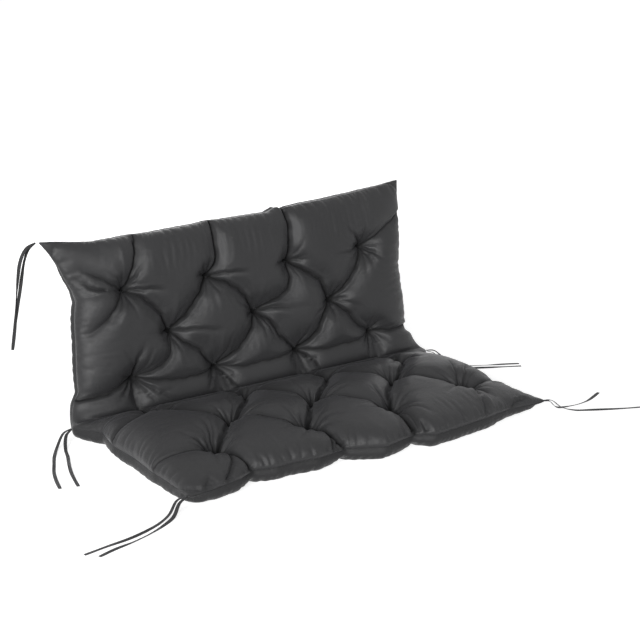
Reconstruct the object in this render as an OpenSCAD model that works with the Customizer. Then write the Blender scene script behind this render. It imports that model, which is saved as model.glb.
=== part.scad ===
// Tufted two-part cushion for a two-seat swing or bench: a seat and a back joined by
// a soft fold, sewn tufts in both, and pairs of tie tapes at the corners and the fold.
// Each pad is worked out on a grid: x across, s along from the fold, h off the seam plane.

/* [Pads] */
// Width between the side seams
pad_w = 1120; // [960:10:1300]
// Depth of the seat, from the fold to its front seam
seat_d = 550; // [500:5:640]
// Height of the back, from the fold to its top seam
back_h = 452; // [400:2:560]
// Height of the seat's seam over the surface that it lies on
seat_seam_h = 40; // [30:1:55]
// Crown of the seat's face over its seam
seat_crown = 70; // [50:1:80]
// Crown of the back's face over its seam
back_crown = 58; // [40:1:62]
// Crown of the back's rear over its seam
back_rear_crown = 35; // [25:1:45]
// Backward lean of the back at rest, in degrees
lean = 9.3; // [0:0.1:25]

/* [Fold] */
// Height of the fold's axis over the surface that the seat lies on
hinge_z = 96; // [92:1:110]
// Crown of the seat's face at the fold
seat_fold_crown = 14; // [8:1:25]
// Length over which the seat's face rises from the fold to its full crown
seat_rise = 185; // [120:5:240]
// Crown of the back's face at its lower end
back_fold_crown = 36; // [25:1:45]
// Length over which the back's face rises to its full crown
back_rise = 100; // [60:5:160]
// Fullness of the cover round the outer corner of the fold
corner_bulge = 14; // [0:1:20]
// Fullness of the cover in the inner crease of the fold
crease_bulge = 6; // [0:1:10]
// Gap between the back and the pieces of the fold
fold_gap = 0.3; // [0.2:0.1:0.6]

/* [Tufts] */
// Distance between the tufts of a row
tuft_pitch = 275; // [240:5:300]
// Distance from the fold to the seat's rear row
seat_first_row = 102; // [80:1:120]
// Distance between the rows of the seat
seat_row_pitch = 166.5; // [150:0.5:180]
// Distance from the back's lower end to its lowest row
back_first_row = 35; // [25:1:60]
// Distance between the rows of the back
back_row_pitch = 131; // [110:1:140]
// Share of the crown that a tuft takes away
tuft_depth = 0.62; // [0.3:0.01:0.75]
// Reach of the dimple round a tuft
tuft_reach = 75; // [50:1:100]
// Share of the crown that a crease takes away
crease_depth = 0.36; // [0.1:0.01:0.5]
// Reach of the valley beside a crease
crease_reach = 62; // [40:1:80]
// Diameter of the tuft thread
thread_d = 2; // [1.5:0.1:3]
// Share of the crown that the fold takes away where it meets a tuft column
junction_depth = 0.8; // [0.3:0.01:0.85]
// Diameter of the knot at each end of a tuft thread
knot_d = 6; // [4:0.5:9]
// Thickness of a knot
knot_t = 3; // [2:0.5:5]

/* [Cover and seam] */
// Thickness of the fabric
cloth_t = 1; // [0.6:0.1:2]
// Thickness of the seam, with its turned-in edges
seam_t = 1.2; // [0.8:0.1:2.4]
// How far the seam stands out round the edge
seam_ridge = 1.5; // [0.5:0.1:4]
// How far the seam allowance reaches inwards
seam_allowance = 8; // [5:0.5:12]
// How far the left seams are drawn in beside an end tuft
left_draw = 10; // [0:1:25]
// How far the right seams are drawn in beside an end tuft
right_draw = 18; // [0:1:25]
// How far the left seams stand out midway between the end tufts
left_swell = 14; // [0:1:25]
// How far the front seam is drawn in before a tuft
front_draw = 30; // [0:1:45]
// How far the top seam is drawn in above a tuft
top_draw = 14; // [0:1:30]
// Gap between the filling and the cover
filling_gap = 0.8; // [0.4:0.1:2]

/* [Corner ears] */
// How far the seat's front left corner stands out sideways
front_left_out = 22; // [0:1:60]
// How far the seat's front left corner stands out forwards
front_left_on = 30; // [0:1:60]
// How far the seat's front right corner stands out sideways
front_right_out = 40; // [0:1:60]
// How far the seat's front right corner stands out forwards
front_right_on = 0; // [0:1:60]
// How far the back's top left corner stands out sideways
top_left_out = 80; // [0:1:100]
// How far the back's top left corner stands out upwards
top_left_on = 8; // [0:1:60]
// How far the back's top right corner stands out sideways
top_right_out = 22; // [0:1:60]
// How far the back's top right corner stands out upwards
top_right_on = 30; // [0:1:60]
// How far the left end of the fold stands out
fold_left_out = 62; // [0:1:80]
// How far the right end of the fold stands out
fold_right_out = 36; // [0:1:60]
// Length over which a corner is drawn out
ear_reach = 42; // [20:1:60]
// Length over which the left end of the fold is drawn out along the seat
fold_left_reach = 80; // [40:1:100]

/* [Tie tapes] */
// Width of a tape
tape_w = 10; // [6:0.5:20]
// Thickness of a tape
tape_t = 1.6; // [1:0.1:3]

/* [Hidden] */

face_colour = [0.16, 0.16, 0.165];
rear_colour = [0.13, 0.13, 0.135];
seam_colour = [0.09, 0.09, 0.09];
filling_colour = [0.93, 0.93, 0.9];
thread_colour = [0.06, 0.06, 0.06];
tape_colour = [0.2, 0.2, 0.2];

// The two pads, and their two sides
SEAT = 0;
BACK = 1;
FACE = 1;
REAR = -1;

// Tufts in an outer row of a pad; the middle row has one less
row_tufts = 4;
// Where the seat stands on its underside, the puffs are cut flat by this much
flat_cut = 0.5;
// Fullness of a pad's rounded edge: 2 is a quarter circle, more is squarer
face_roundness = [2.2, 2.2];
rear_roundness = [4, 2.6];
// Shares of a side strip, from its seam inwards, at which the grid has a line
strip_shares = [1, 0.93, 0.7, 0.35];
cells_per_pitch = 8;
cells_per_row = 4;
cells_to_first_row = [2, 1];
// Steps of the grid round the fold
fold_steps = 4;
thread_clearance = 0.3;
// Sides of a thread, of its hole and of a knot
round_sides = 12;
// Stands for no limit to a height or a radius
unlimited = 10000;
// Height of the middle of a tape that lies on the floor
tape_lie = tape_t / 2 + 0.2;

pad_length = [seat_d, back_h];
first_row = [seat_first_row, back_first_row];
row_pitch = [seat_row_pitch, back_row_pitch];
end_draw = [front_draw, top_draw];
face_crown = [seat_crown, back_crown];
fold_crown = [seat_fold_crown, back_fold_crown];
rise = [seat_rise, back_rise];
rear_crown = [seat_seam_h + flat_cut, back_rear_crown];
// Sideways and endways reach of the far corners, [left, right] on each pad
corner_out = [[front_left_out, front_right_out], [top_left_out, top_right_out]];
corner_on = [[front_left_on, front_right_on], [top_left_on, top_right_on]];
// Reach of the fold's ends along each pad, and how far its left and right side are drawn out there
fold_reach = [[fold_left_reach, ear_reach], [ear_reach, ear_reach]];
fold_ear = [[fold_left_out, fold_right_out], [fold_left_out / 2, fold_right_out / 4]];
side_draw = [left_draw, right_draw];
side_swell = [left_swell, 0];

half_w = pad_w / 2;
last_tuft_x = tuft_pitch * (row_tufts - 1) / 2;
// Reach along a seam of its drawn-in place beside a tuft
draw_reach = tuft_pitch / 7;
half_seam = seam_t / 2;
// The axis lies this far in front of the back's seam plane, so that the back
// lies flat on the same surface as the seat when the fold is opened
back_offset = hinge_z - back_rear_crown;
seat_offset = hinge_z - seat_seam_h;
// Angle of the wedge between the ends of the two pads at rest
fold_angle = 90 - lean;

// Each line is [place of the last tuft column or row that it starts from, share of the strip beyond]
columns = concat(
    [for (share = strip_shares) [-last_tuft_x, share]],
    [for (i = [0 : cells_per_pitch * (row_tufts - 1)]) [i * tuft_pitch / cells_per_pitch - last_tuft_x, 0]],
    [for (k = [len(strip_shares) - 1 : -1 : 0]) [last_tuft_x, strip_shares[k]]]
);

function row(pad, k) = first_row[pad] + k * row_pitch[pad];

function stations(pad) = concat(
    [for (j = [0 : cells_to_first_row[pad] - 1]) [first_row[pad] * j / cells_to_first_row[pad], 0]],
    [for (j = [0 : 2 * cells_per_row]) [row(pad, 0) + j * row_pitch[pad] / cells_per_row, 0]],
    [for (k = [len(strip_shares) - 1 : -1 : 0]) [row(pad, 2), strip_shares[k]]]
);

// The filling follows every second line
function every_second(lines) = [for (i = [0 : len(lines) - 1]) if (i % 2 == 0) lines[i]];

function side_of(column) = column[0] < 0 ? 0 : 1;
function sign_of(column) = column[0] < 0 ? -1 : 1;

function bell(t) = exp(-t * t);
function outer_x(k) = k * tuft_pitch - last_tuft_x;
function middle_x(k) = outer_x(k) + tuft_pitch / 2;

// Distance of a side seam from the middle; ears is 1 with the drawn-out corners, 0 without
function side_seam(pad, side, s, ears = 1) = half_w
    + ears * corner_out[pad][side] * bell((s - pad_length[pad]) / ear_reach)
    + ears * fold_ear[pad][side] * bell(s / fold_reach[pad][side])
    + side_swell[side] * bell((s - row(pad, 1)) / row_pitch[pad] * 1.6)
    - side_draw[side] * (bell((s - row(pad, 0)) / draw_reach) + bell((s - row(pad, 2)) / draw_reach));

// Distance of the front or top seam from the fold
function end_seam(pad, x, ears = 1) = pad_length[pad]
    + ears * corner_on[pad][x < 0 ? 0 : 1] * bell((abs(x) - half_w) / ear_reach)
    - end_draw[pad] * max([for (k = [0 : row_tufts - 1]) bell((x - outer_x(k)) / draw_reach)]);

// Even place of a grid line, before the outline moves it
function even_x(column) = column[0] + sign_of(column) * column[1] * (half_w - last_tuft_x);
function even_s(pad, station) = station[0] + station[1] * (pad_length[pad] - row(pad, 2));

// Place of a grid line in the outline; an ear draws the lines out the more, the nearer they are to the seam
function grid_x(pad, column, station, ears = 1) =
    let (s = even_s(pad, station), plain = side_seam(pad, side_of(column), s, 0))
    let (ear = side_seam(pad, side_of(column), s, ears) - plain)
    column[0] + sign_of(column) * (column[1] * (plain - last_tuft_x) + pow(column[1], 2) * ear);
function grid_s(pad, column, station, ears = 1) =
    let (x = even_x(column), plain = end_seam(pad, x, 0), ear = end_seam(pad, x, ears) - plain)
    station[0] + station[1] * (plain - row(pad, 2)) + pow(station[1], 2) * ear;

function tuft_points(pad, k) = k == 1
    ? [for (m = [0 : row_tufts - 2]) [middle_x(m), row(pad, 1)]]
    : [for (m = [0 : row_tufts - 1]) [outer_x(m), row(pad, k)]];

// Creases run in diamonds between the tufts, along the row nearest the fold,
// and out to the seams and the fold; each is [one end, other end]
function creases(pad) = concat(
    [for (m = [0 : row_tufts - 2], k = [0, 2], side = [-1, 1])
        [[middle_x(m), row(pad, 1)], [middle_x(m) + side * tuft_pitch / 2, row(pad, k)]]],
    [for (m = [0 : row_tufts - 2]) [[outer_x(m), row(pad, 0)], [outer_x(m + 1), row(pad, 0)]]],
    [for (m = [0 : row_tufts - 1]) [[outer_x(m), row(pad, 0)], [outer_x(m), 0]]],
    [for (m = [0 : row_tufts - 1]) [[outer_x(m), row(pad, 2)], [outer_x(m), pad_length[pad]]]],
    [for (k = [0, 2], side = [-1, 1]) [[side * last_tuft_x, row(pad, k)], [side * half_w, row(pad, k)]]]
);
pad_creases = [creases(SEAT), creases(BACK)];
pad_tufts = [for (pad = [SEAT, BACK]) [for (k = [0 : 2]) each tuft_points(pad, k)]];
// Where a tuft column meets the fold, the face is pinched as well
junctions = [for (m = [0 : row_tufts - 1]) [outer_x(m), 0]];

function clamp01(t) = min(1, max(0, t));
function distance_to_line(p, a, b) =
    let (along = clamp01((p - a) * (b - a) / ((b - a) * (b - a)))) norm(p - a - along * (b - a));
function valley(distance, depth, reach) = 1 - depth * pow(1 - min(1, distance / reach), 2);

// Share of the crown that is left at a point, 1 on top of a puff
function puff(pad, side, p) =
    valley(min([for (c = pad_creases[pad]) distance_to_line(p, c[0], c[1])]), crease_depth, crease_reach)
    * valley(min([for (t = pad_tufts[pad]) norm(p - t)]), tuft_depth, tuft_reach)
    * (side == REAR ? 1 : valley(min([for (j = junctions) norm(p - j)]), junction_depth, tuft_reach));

function round_edge(share, roundness) = pow(1 - pow(min(1, share), roundness), 1 / roundness);

// Full crown of a side of a pad at a distance from the fold
function crown(pad, side, s) = side == REAR
    ? rear_crown[pad]
    : fold_crown[pad] + (face_crown[pad] - fold_crown[pad]) * sin(90 * min(1, s / rise[pad]));

function most(pad, side) = pad == SEAT && side == REAR ? seat_seam_h - half_seam : unlimited;

// Height of the cover's outside over the seam, on one side of a pad
function cover_height(pad, side, column, station) =
    let (roundness = side == FACE ? face_roundness[pad] : rear_roundness[pad])
    let (s = even_s(pad, station))
    min(most(pad, side),
        crown(pad, side, s) * round_edge(max(column[1], station[1]), roundness)
        * puff(pad, side, [even_x(column), s]));

// A point of the cover, or of what lies in it, moved inwards by a depth under its outside
function pad_point(pad, side, column, station, depth, set_in, ears = 1) = [
    grid_x(pad, column, station, ears) - sign_of(column) * column[1] * set_in,
    grid_s(pad, column, station, ears) - station[1] * set_in,
    side * (half_seam + max(0, cover_height(pad, side, column, station) - depth))
];

// A crease crosses a cell from corner to corner, so the cell is split along it
function crease_rises(pad, column, station) =
    let (turn = (even_x(column) + last_tuft_x + tuft_pitch / 2 + 1) / tuft_pitch)
    let (right_of_middle = turn - floor(turn) < 0.5)
    even_s(pad, station) + 1 > row(pad, 1) ? right_of_middle : !right_of_middle;

function sheet(m, n, first, rises) = [
    for (j = [0 : n - 2], i = [0 : m - 2])
        let (a = first + j * m + i, b = a + 1, c = b + m, d = a + m)
        each rises[j][i] ? [[a, b, c], [a, c, d]] : [[a, b, d], [b, c, d]]
];

function rim(m, n) = concat(
    [for (i = [0 : m - 2]) i],
    [for (j = [0 : n - 2]) j * m + m - 1],
    [for (i = [m - 1 : -1 : 1]) (n - 1) * m + i],
    [for (j = [n - 1 : -1 : 1]) j * m]
);

function reversed(faces) = [for (f = faces) [f[2], f[1], f[0]]];

// A closed solid between a lower and an upper grid of m by n points each
module slab(m, n, lower, upper, rises) {
    edge = rim(m, n);
    above = m * n;
    walls = [
        for (k = [0 : len(edge) - 1])
            let (p = edge[k], q = edge[(k + 1) % len(edge)])
            each [[q, p, p + above], [q, p + above, q + above]]
    ];
    polyhedron(
        points = concat(lower, upper),
        faces = concat(sheet(m, n, 0, rises), reversed(sheet(m, n, above, rises)), walls)
    );
}

function pad_grid(pad, side, columns, stations, depth, set_in, ears = 1) =
    [for (st = stations, c = columns) pad_point(pad, side, c, st, depth, set_in, ears)];
function pad_rises(pad, columns, stations) = [
    for (j = [0 : len(stations) - 2])
        [for (i = [0 : len(columns) - 2]) crease_rises(pad, columns[i], stations[j])]
];

// The back's extreme point behind the axis, and the seat's before it
function behind_axis(p) = (p[1] + fold_gap) * sin(lean) + (back_offset - p[2]) * cos(lean);
rear_reach = max([for (p = pad_grid(BACK, REAR, columns, stations(BACK), 0, 0)) behind_axis(p)]);
front_reach = max([for (c = columns) end_seam(SEAT, even_x(c))]) + seam_ridge;
left_reach = max(side_seam(SEAT, 0, 0), side_seam(SEAT, 0, seat_d), side_seam(BACK, 0, back_h));
right_reach = max(side_seam(SEAT, 1, 0), side_seam(SEAT, 1, seat_d), side_seam(BACK, 1, back_h));
// The origin is the middle of the footprint, on the floor
hinge_y = (front_reach - rear_reach) / 2;
middle_x_shift = (left_reach - right_reach) / 2;

module in_seat() {
    translate([middle_x_shift, hinge_y, seat_seam_h]) mirror([0, 1, 0]) children();
}

module in_back() {
    translate([middle_x_shift, hinge_y, hinge_z])
        rotate([90 - lean, 0, 0]) translate([0, fold_gap, -back_offset]) children();
}

module in_pad(pad) {
    if (pad == SEAT) in_seat() children();
    else in_back() children();
}

function seat_place(p) = [p[0] + middle_x_shift, hinge_y - p[1], seat_seam_h + p[2]];
function back_place(p) = [
    p[0] + middle_x_shift,
    hinge_y + behind_axis(p),
    hinge_z + (p[1] + fold_gap) * cos(lean) - (back_offset - p[2]) * sin(lean)
];

module panel(pad, side) {
    st = stations(pad);
    in_pad(pad)
        slab(len(columns), len(st),
            side == FACE ? pad_grid(pad, FACE, columns, st, cloth_t, cloth_t) : pad_grid(pad, REAR, columns, st, 0, 0),
            side == FACE ? pad_grid(pad, FACE, columns, st, 0, 0) : pad_grid(pad, REAR, columns, st, cloth_t, cloth_t),
            pad_rises(pad, columns, st));
}

// Gap and rim of the filling: it stops short of the seam allowance
filling_depth = cloth_t + filling_gap;
filling_set_in = seam_allowance + filling_gap;

module filling(pad) {
    few_columns = every_second(columns);
    few_stations = pad == SEAT ? every_second(stations(pad)) : concat([stations(pad)[0]],
        every_second([for (j = [1 : len(stations(pad)) - 1]) stations(pad)[j]]));
    in_pad(pad) difference() {
        slab(len(few_columns), len(few_stations),
            pad_grid(pad, REAR, few_columns, few_stations, filling_depth, filling_set_in, 0),
            pad_grid(pad, FACE, few_columns, few_stations, filling_depth, filling_set_in, 0),
            pad_rises(pad, few_columns, few_stations));
        for (t = pad_tufts[pad]) translate([t[0], t[1], -face_crown[pad]])
            cylinder(d = thread_d + 2 * thread_clearance, h = 2 * face_crown[pad], $fn = round_sides);
    }
}

// Points along the seam, from the fold's left end round the pad to its right end
function seam_line(pad, out, ears) =
    let (st = stations(pad), n = len(st), m = len(columns))
    let (around = concat(
        [for (j = [0 : n - 2]) [0, j]], [for (i = [0 : m - 1]) [i, n - 1]], [for (j = [n - 2 : -1 : 0]) [m - 1, j]]))
    [for (k = around) let (p = pad_point(pad, FACE, columns[k[0]], st[k[1]], 0, -out, ears)) [p[0], p[1]]];

// The turned-in edges fill the ears, so their inner line runs past the ears' roots
module edge_seam(pad) {
    inner = seam_line(pad, -seam_allowance, 0);
    in_pad(pad) translate([0, 0, -half_seam]) linear_extrude(seam_t)
        polygon(concat(seam_line(pad, seam_ridge, 1), [for (k = [len(inner) - 1 : -1 : 0]) inner[k]]));
}

function tuft_height(pad, side, t) =
    min(most(pad, side), crown(pad, side, t[1]) * puff(pad, side, t));

function line_at(places, place) = [for (i = [0 : len(places) - 1]) if (abs(places[i] - place) < 0.01) i][0];

// Steepest rise of the cover beside a tuft, along the grid and across its cells
function steepness(pad, side, t) =
    let (st = stations(pad), xs = [for (c = columns) even_x(c)], ss = [for (s = st) even_s(pad, s)])
    let (i = line_at(xs, t[0]), j = line_at(ss, t[1]), low = cover_height(pad, side, columns[i], st[j]))
    max([for (di = [-1, 1], dj = [-1, 1])
        let (dx = abs(xs[i + di] - t[0]), ds = abs(ss[j + dj] - t[1]))
        let (along_x = cover_height(pad, side, columns[i + di], st[j]) - low)
        let (along_s = cover_height(pad, side, columns[i], st[j + dj]) - low)
        let (across = cover_height(pad, side, columns[i + di], st[j + dj]) - low)
        max(along_x / dx, along_s / ds, norm([along_x / dx, along_s / ds]) * 0.85, across / norm([dx, ds]))]);

// The knot nests in the dimple, clear of its slopes
module knot(pad, side, t) {
    slope = steepness(pad, side, t);
    up = half_seam + tuft_height(pad, side, t) + knot_d / 2 * slope + thread_clearance;
    translate([t[0], t[1], side * (up + knot_t / 2)]) cylinder(d = knot_d, h = knot_t, center = true, $fn = round_sides);
}

module tuft_row(pad, k) {
    for (t = tuft_points(pad, k)) {
        low = -half_seam - tuft_height(pad, REAR, t) + cloth_t + thread_clearance;
        high = half_seam + tuft_height(pad, FACE, t) - cloth_t - thread_clearance;
        in_pad(pad) {
            translate([t[0], t[1], low]) cylinder(d = thread_d, h = high - low, $fn = round_sides);
            knot(pad, FACE, t);
            knot(pad, REAR, t);
        }
    }
}

fold_stations = [for (k = [0 : fold_steps]) k / fold_steps];

function mix(a, b, share) = a + (b - a) * share;
function seam_radius(share) = mix(seat_offset, back_offset, share);
function fold_start(pad) = stations(pad)[0];

// Height of the fold's cover over its seam, on its inner or its outer side
function fold_height(side, column, share) =
    let (seat_end = cover_height(SEAT, side, column, fold_start(SEAT)))
    let (back_end = cover_height(BACK, side, column, fold_start(BACK)))
    let (roundness = side == FACE ? face_roundness[BACK] : rear_roundness[BACK])
    let (bulge = (side == FACE ? crease_bulge : corner_bulge) * puff(SEAT, side, [even_x(column), 0]))
    mix(seat_end, back_end, share) + bulge * round_edge(column[1], roundness) * sin(180 * share);

// The outer cover may not reach below the floor
function floor_radius(angle) = angle > 70 ? unlimited : hinge_z / cos(angle);

function fold_x(column, share, ears = 1) =
    mix(grid_x(SEAT, column, fold_start(SEAT), ears), grid_x(BACK, column, fold_start(BACK), ears), share);

function fold_point(side, column, share, depth, set_in, ears = 1) =
    let (angle = share * fold_angle)
    let (height = max(0, fold_height(side, column, share) - depth))
    let (free = seam_radius(share) - side * (half_seam + height))
    let (radius = side == FACE ? free : min(free, floor_radius(angle) - depth))
    [
        fold_x(column, share, ears) + middle_x_shift - sign_of(column) * column[1] * set_in,
        hinge_y + radius * sin(angle),
        hinge_z - radius * cos(angle)
    ];

function fold_grid(side, columns, depth, set_in, ears = 1) =
    [for (share = fold_stations, c = columns) fold_point(side, c, share, depth, set_in, ears)];
function fold_rises(columns) =
    [for (k = [1 : fold_steps]) [for (i = [0 : len(columns) - 2]) i < (len(columns) - 1) / 2]];

module fold_strip(side) {
    slab(len(columns), fold_steps + 1,
        side == FACE ? fold_grid(side, columns, cloth_t, cloth_t) : fold_grid(side, columns, 0, 0),
        side == FACE ? fold_grid(side, columns, 0, 0) : fold_grid(side, columns, cloth_t, cloth_t),
        fold_rises(columns));
}

module fold_stuffing() {
    few_columns = every_second(columns);
    slab(len(few_columns), fold_steps + 1,
        fold_grid(REAR, few_columns, filling_depth, filling_set_in, 0),
        fold_grid(FACE, few_columns, filling_depth, filling_set_in, 0),
        fold_rises(few_columns));
}

// The seam's piece round one end of the fold
module fold_end_seam(column) {
    function seam_point(share, edge, off) =
        let (angle = share * fold_angle, radius = seam_radius(share) + off)
        [
            fold_x(column, share, edge[1]) + middle_x_shift + sign_of(column) * edge[0],
            hinge_y + radius * sin(angle),
            hinge_z - radius * cos(angle)
        ];
    outer = [seam_ridge, 1];
    inner = [-seam_allowance, 0];
    across = sign_of(column) < 0 ? [inner, outer] : [outer, inner];
    slab(2, fold_steps + 1,
        [for (share = fold_stations, edge = across) seam_point(share, edge, -half_seam)],
        [for (share = fold_stations, edge = across) seam_point(share, edge, half_seam)],
        [for (k = [1 : fold_steps]) [true]]);
}

function seat_corner(side) = seat_place([
    (side == 0 ? -1 : 1) * (side_seam(SEAT, side, seat_d) + seam_ridge),
    end_seam(SEAT, (side == 0 ? -1 : 1) * half_w) + seam_ridge, 0
]);
function fold_end(side) = seat_place([(side == 0 ? -1 : 1) * (side_seam(SEAT, side, 0) + seam_ridge), 0, 0]);
top_left_corner = back_place([
    -side_seam(BACK, 0, back_h) - seam_ridge, end_seam(BACK, -half_w) + seam_ridge, 0
]);

// Routes from the corner: along x, along y, and the share of the corner's height that is left
front_left_long = [[-1, 0, 1.03], [-30, 2, 0.86], [-58, -10, 0.22], [-100, -30, 0], [-150, -52, 0],
    [-200, -66, 0], [-260, -74, 0], [-325, -86, 0]];
front_left_short = [[-1, -1, 0.97], [-28, -8, 0.76], [-54, -24, 0.15], [-96, -46, 0], [-145, -70, 0],
    [-195, -86, 0], [-250, -98, 0], [-300, -114, 0]];
front_right_long = [[1, 0, 1.03], [30, -4, 0.9], [62, -14, 0.25], [100, -36, 0], [145, -62, 0],
    [190, -84, 0], [235, -104, 0], [275, -120, 0]];
front_right_short = [[1, 1, 0.97], [30, 6, 0.76], [60, 8, 0.12], [100, 4, 0], [135, 0, 0],
    [175, 6, 0], [215, 22, 0], [255, 42, 0]];
fold_left_long = [[-1, 0, 1.03], [-30, -8, 0.86], [-58, -28, 0.2], [-86, -70, 0], [-110, -120, 0],
    [-134, -172, 0], [-152, -225, 0], [-166, -278, 0]];
fold_left_short = [[-1, 0, 0.97], [-24, -14, 0.7], [-40, -42, 0.08], [-56, -90, 0], [-76, -140, 0],
    [-94, -190, 0], [-108, -240, 0], [-120, -290, 0]];
fold_right_long = [[1, 0, 1.03], [32, -2, 0.85], [58, -20, 0.2], [72, -60, 0], [92, -98, 0],
    [130, -122, 0], [182, -146, 0], [236, -172, 0]];
fold_right_short = [[1, 0, 0.97], [26, -8, 0.7], [44, -34, 0.08], [54, -76, 0], [72, -114, 0],
    [112, -140, 0], [164, -164, 0], [226, -194, 0]];
// Routes that hang free: along x, y and z from the corner
top_left_long = [[-0.4, -1.2, 0], [-30, -4, -12], [-50, -6, -44], [-60, -7, -90], [-68, -9, -140],
    [-74, -11, -190], [-82, -14, -238], [-92, -18, -285]];
top_left_short = [[-0.4, 1.2, 0], [-20, 3, -16], [-34, 4, -48], [-44, 3, -90], [-54, 1, -135],
    [-66, -2, -180], [-76, -6, -222], [-86, -11, -264]];

function lying(corner, route) =
    [for (r = route) [corner[0] + r[0], corner[1] + r[1], mix(tape_lie, corner[2], r[2])]];
function hanging(corner, route) = [for (r = route) corner + r];

function unit(v) = v / norm(v);

// One ring of the tape's flat section, square to the route at point k
function tape_ring(route, k, flat_normal) =
    let (along = unit(route[min(k + 1, len(route) - 1)] - route[max(k - 1, 0)]))
    let (across = unit(cross(flat_normal, along)))
    let (up = cross(along, across))
    let (w = tape_w / 2, t = tape_t / 2)
    [for (c = [[w - t, t], [w, t / 2], [w, -t / 2], [w - t, -t], [t - w, -t], [-w, -t / 2], [-w, t / 2], [t - w, t]])
        route[k] + c[0] * across + c[1] * up];

// A flat tape swept along its route; flat_normal is square to its flat side
module tape(route, flat_normal) {
    sides = 8;
    rings = len(route);
    points = [for (k = [0 : rings - 1]) each tape_ring(route, k, flat_normal)];
    walls = [
        for (k = [0 : rings - 2], i = [0 : sides - 1])
            let (a = k * sides + i, b = k * sides + (i + 1) % sides)
            each [[a, b, b + sides], [a, b + sides, a + sides]]
    ];
    last = (rings - 1) * sides;
    caps = [for (i = [1 : sides - 2]) each [[0, i + 1, i], [last, last + i, last + i + 1]]];
    polyhedron(points = points, faces = concat(walls, caps));
}

floor_up = [0, 0, 1];
toward_front = [0, -1, 0];

module seat_face_panel() { color(face_colour) panel(SEAT, FACE); }
module seat_underside_panel() { color(rear_colour) panel(SEAT, REAR); }
module seat_filling() { color(filling_colour) filling(SEAT); }
module seat_edge_seam() { color(seam_colour) edge_seam(SEAT); }
module back_face_panel() { color(face_colour) panel(BACK, FACE); }
module back_rear_panel() { color(rear_colour) panel(BACK, REAR); }
module back_filling() { color(filling_colour) filling(BACK); }
module back_edge_seam() { color(seam_colour) edge_seam(BACK); }
module fold_inner_strip() { color(face_colour) fold_strip(FACE); }
module fold_outer_strip() { color(rear_colour) fold_strip(REAR); }
module fold_filling() { color(filling_colour) fold_stuffing(); }
module fold_end_seams() {
    color(seam_colour) {
        fold_end_seam(columns[0]);
        fold_end_seam(columns[len(columns) - 1]);
    }
}
module seat_tufts_rear() { color(thread_colour) tuft_row(SEAT, 0); }
module seat_tufts_middle() { color(thread_colour) tuft_row(SEAT, 1); }
module seat_tufts_front() { color(thread_colour) tuft_row(SEAT, 2); }
module back_tufts_low() { color(thread_colour) tuft_row(BACK, 0); }
module back_tufts_middle() { color(thread_colour) tuft_row(BACK, 1); }
module back_tufts_top() { color(thread_colour) tuft_row(BACK, 2); }
module top_left_tie_long() { color(tape_colour) tape(hanging(top_left_corner, top_left_long), toward_front); }
module top_left_tie_short() { color(tape_colour) tape(hanging(top_left_corner, top_left_short), toward_front); }
module fold_left_tie_long() { color(tape_colour) tape(lying(fold_end(0), fold_left_long), floor_up); }
module fold_left_tie_short() { color(tape_colour) tape(lying(fold_end(0), fold_left_short), floor_up); }
module fold_right_tie_long() { color(tape_colour) tape(lying(fold_end(1), fold_right_long), floor_up); }
module fold_right_tie_short() { color(tape_colour) tape(lying(fold_end(1), fold_right_short), floor_up); }
module front_left_tie_long() { color(tape_colour) tape(lying(seat_corner(0), front_left_long), floor_up); }
module front_left_tie_short() { color(tape_colour) tape(lying(seat_corner(0), front_left_short), floor_up); }
module front_right_tie_long() { color(tape_colour) tape(lying(seat_corner(1), front_right_long), floor_up); }
module front_right_tie_short() { color(tape_colour) tape(lying(seat_corner(1), front_right_short), floor_up); }

seat_face_panel();
seat_underside_panel();
seat_filling();
seat_edge_seam();
back_face_panel();
back_rear_panel();
back_filling();
back_edge_seam();
fold_inner_strip();
fold_outer_strip();
fold_filling();
fold_end_seams();
seat_tufts_rear();
seat_tufts_middle();
seat_tufts_front();
back_tufts_low();
back_tufts_middle();
back_tufts_top();
top_left_tie_long();
top_left_tie_short();
fold_left_tie_long();
fold_left_tie_short();
fold_right_tie_long();
fold_right_tie_short();
front_left_tie_long();
front_left_tie_short();
front_right_tie_long();
front_right_tie_short();
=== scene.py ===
# Dresses the two-part tufted swing cushion: cloth, seams, tufts, ties, floor and light.
import math
import bpy
import numpy as np
from mathutils import Matrix, Vector


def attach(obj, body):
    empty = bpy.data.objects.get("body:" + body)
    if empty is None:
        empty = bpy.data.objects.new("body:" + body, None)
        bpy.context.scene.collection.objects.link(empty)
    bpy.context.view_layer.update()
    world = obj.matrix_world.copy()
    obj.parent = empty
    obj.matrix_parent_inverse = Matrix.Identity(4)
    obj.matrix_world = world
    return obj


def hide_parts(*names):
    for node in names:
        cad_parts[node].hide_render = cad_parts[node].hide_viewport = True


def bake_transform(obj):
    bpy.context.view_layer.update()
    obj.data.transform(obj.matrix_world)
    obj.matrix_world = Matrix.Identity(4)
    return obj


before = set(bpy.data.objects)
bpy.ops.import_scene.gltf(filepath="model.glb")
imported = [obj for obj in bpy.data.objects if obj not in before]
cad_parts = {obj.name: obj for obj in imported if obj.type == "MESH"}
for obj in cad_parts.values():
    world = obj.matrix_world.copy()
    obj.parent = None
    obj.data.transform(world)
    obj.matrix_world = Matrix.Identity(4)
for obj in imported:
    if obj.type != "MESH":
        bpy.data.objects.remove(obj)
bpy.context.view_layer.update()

print("stage: camera")
cameraSettings = {"target": (0.1253, 0.0746, 0.2627), "azimuth": -33.55, "elevation": 17.41,
                  "roll": -0.1, "distance": 4.712, "lens": 92.1}


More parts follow.
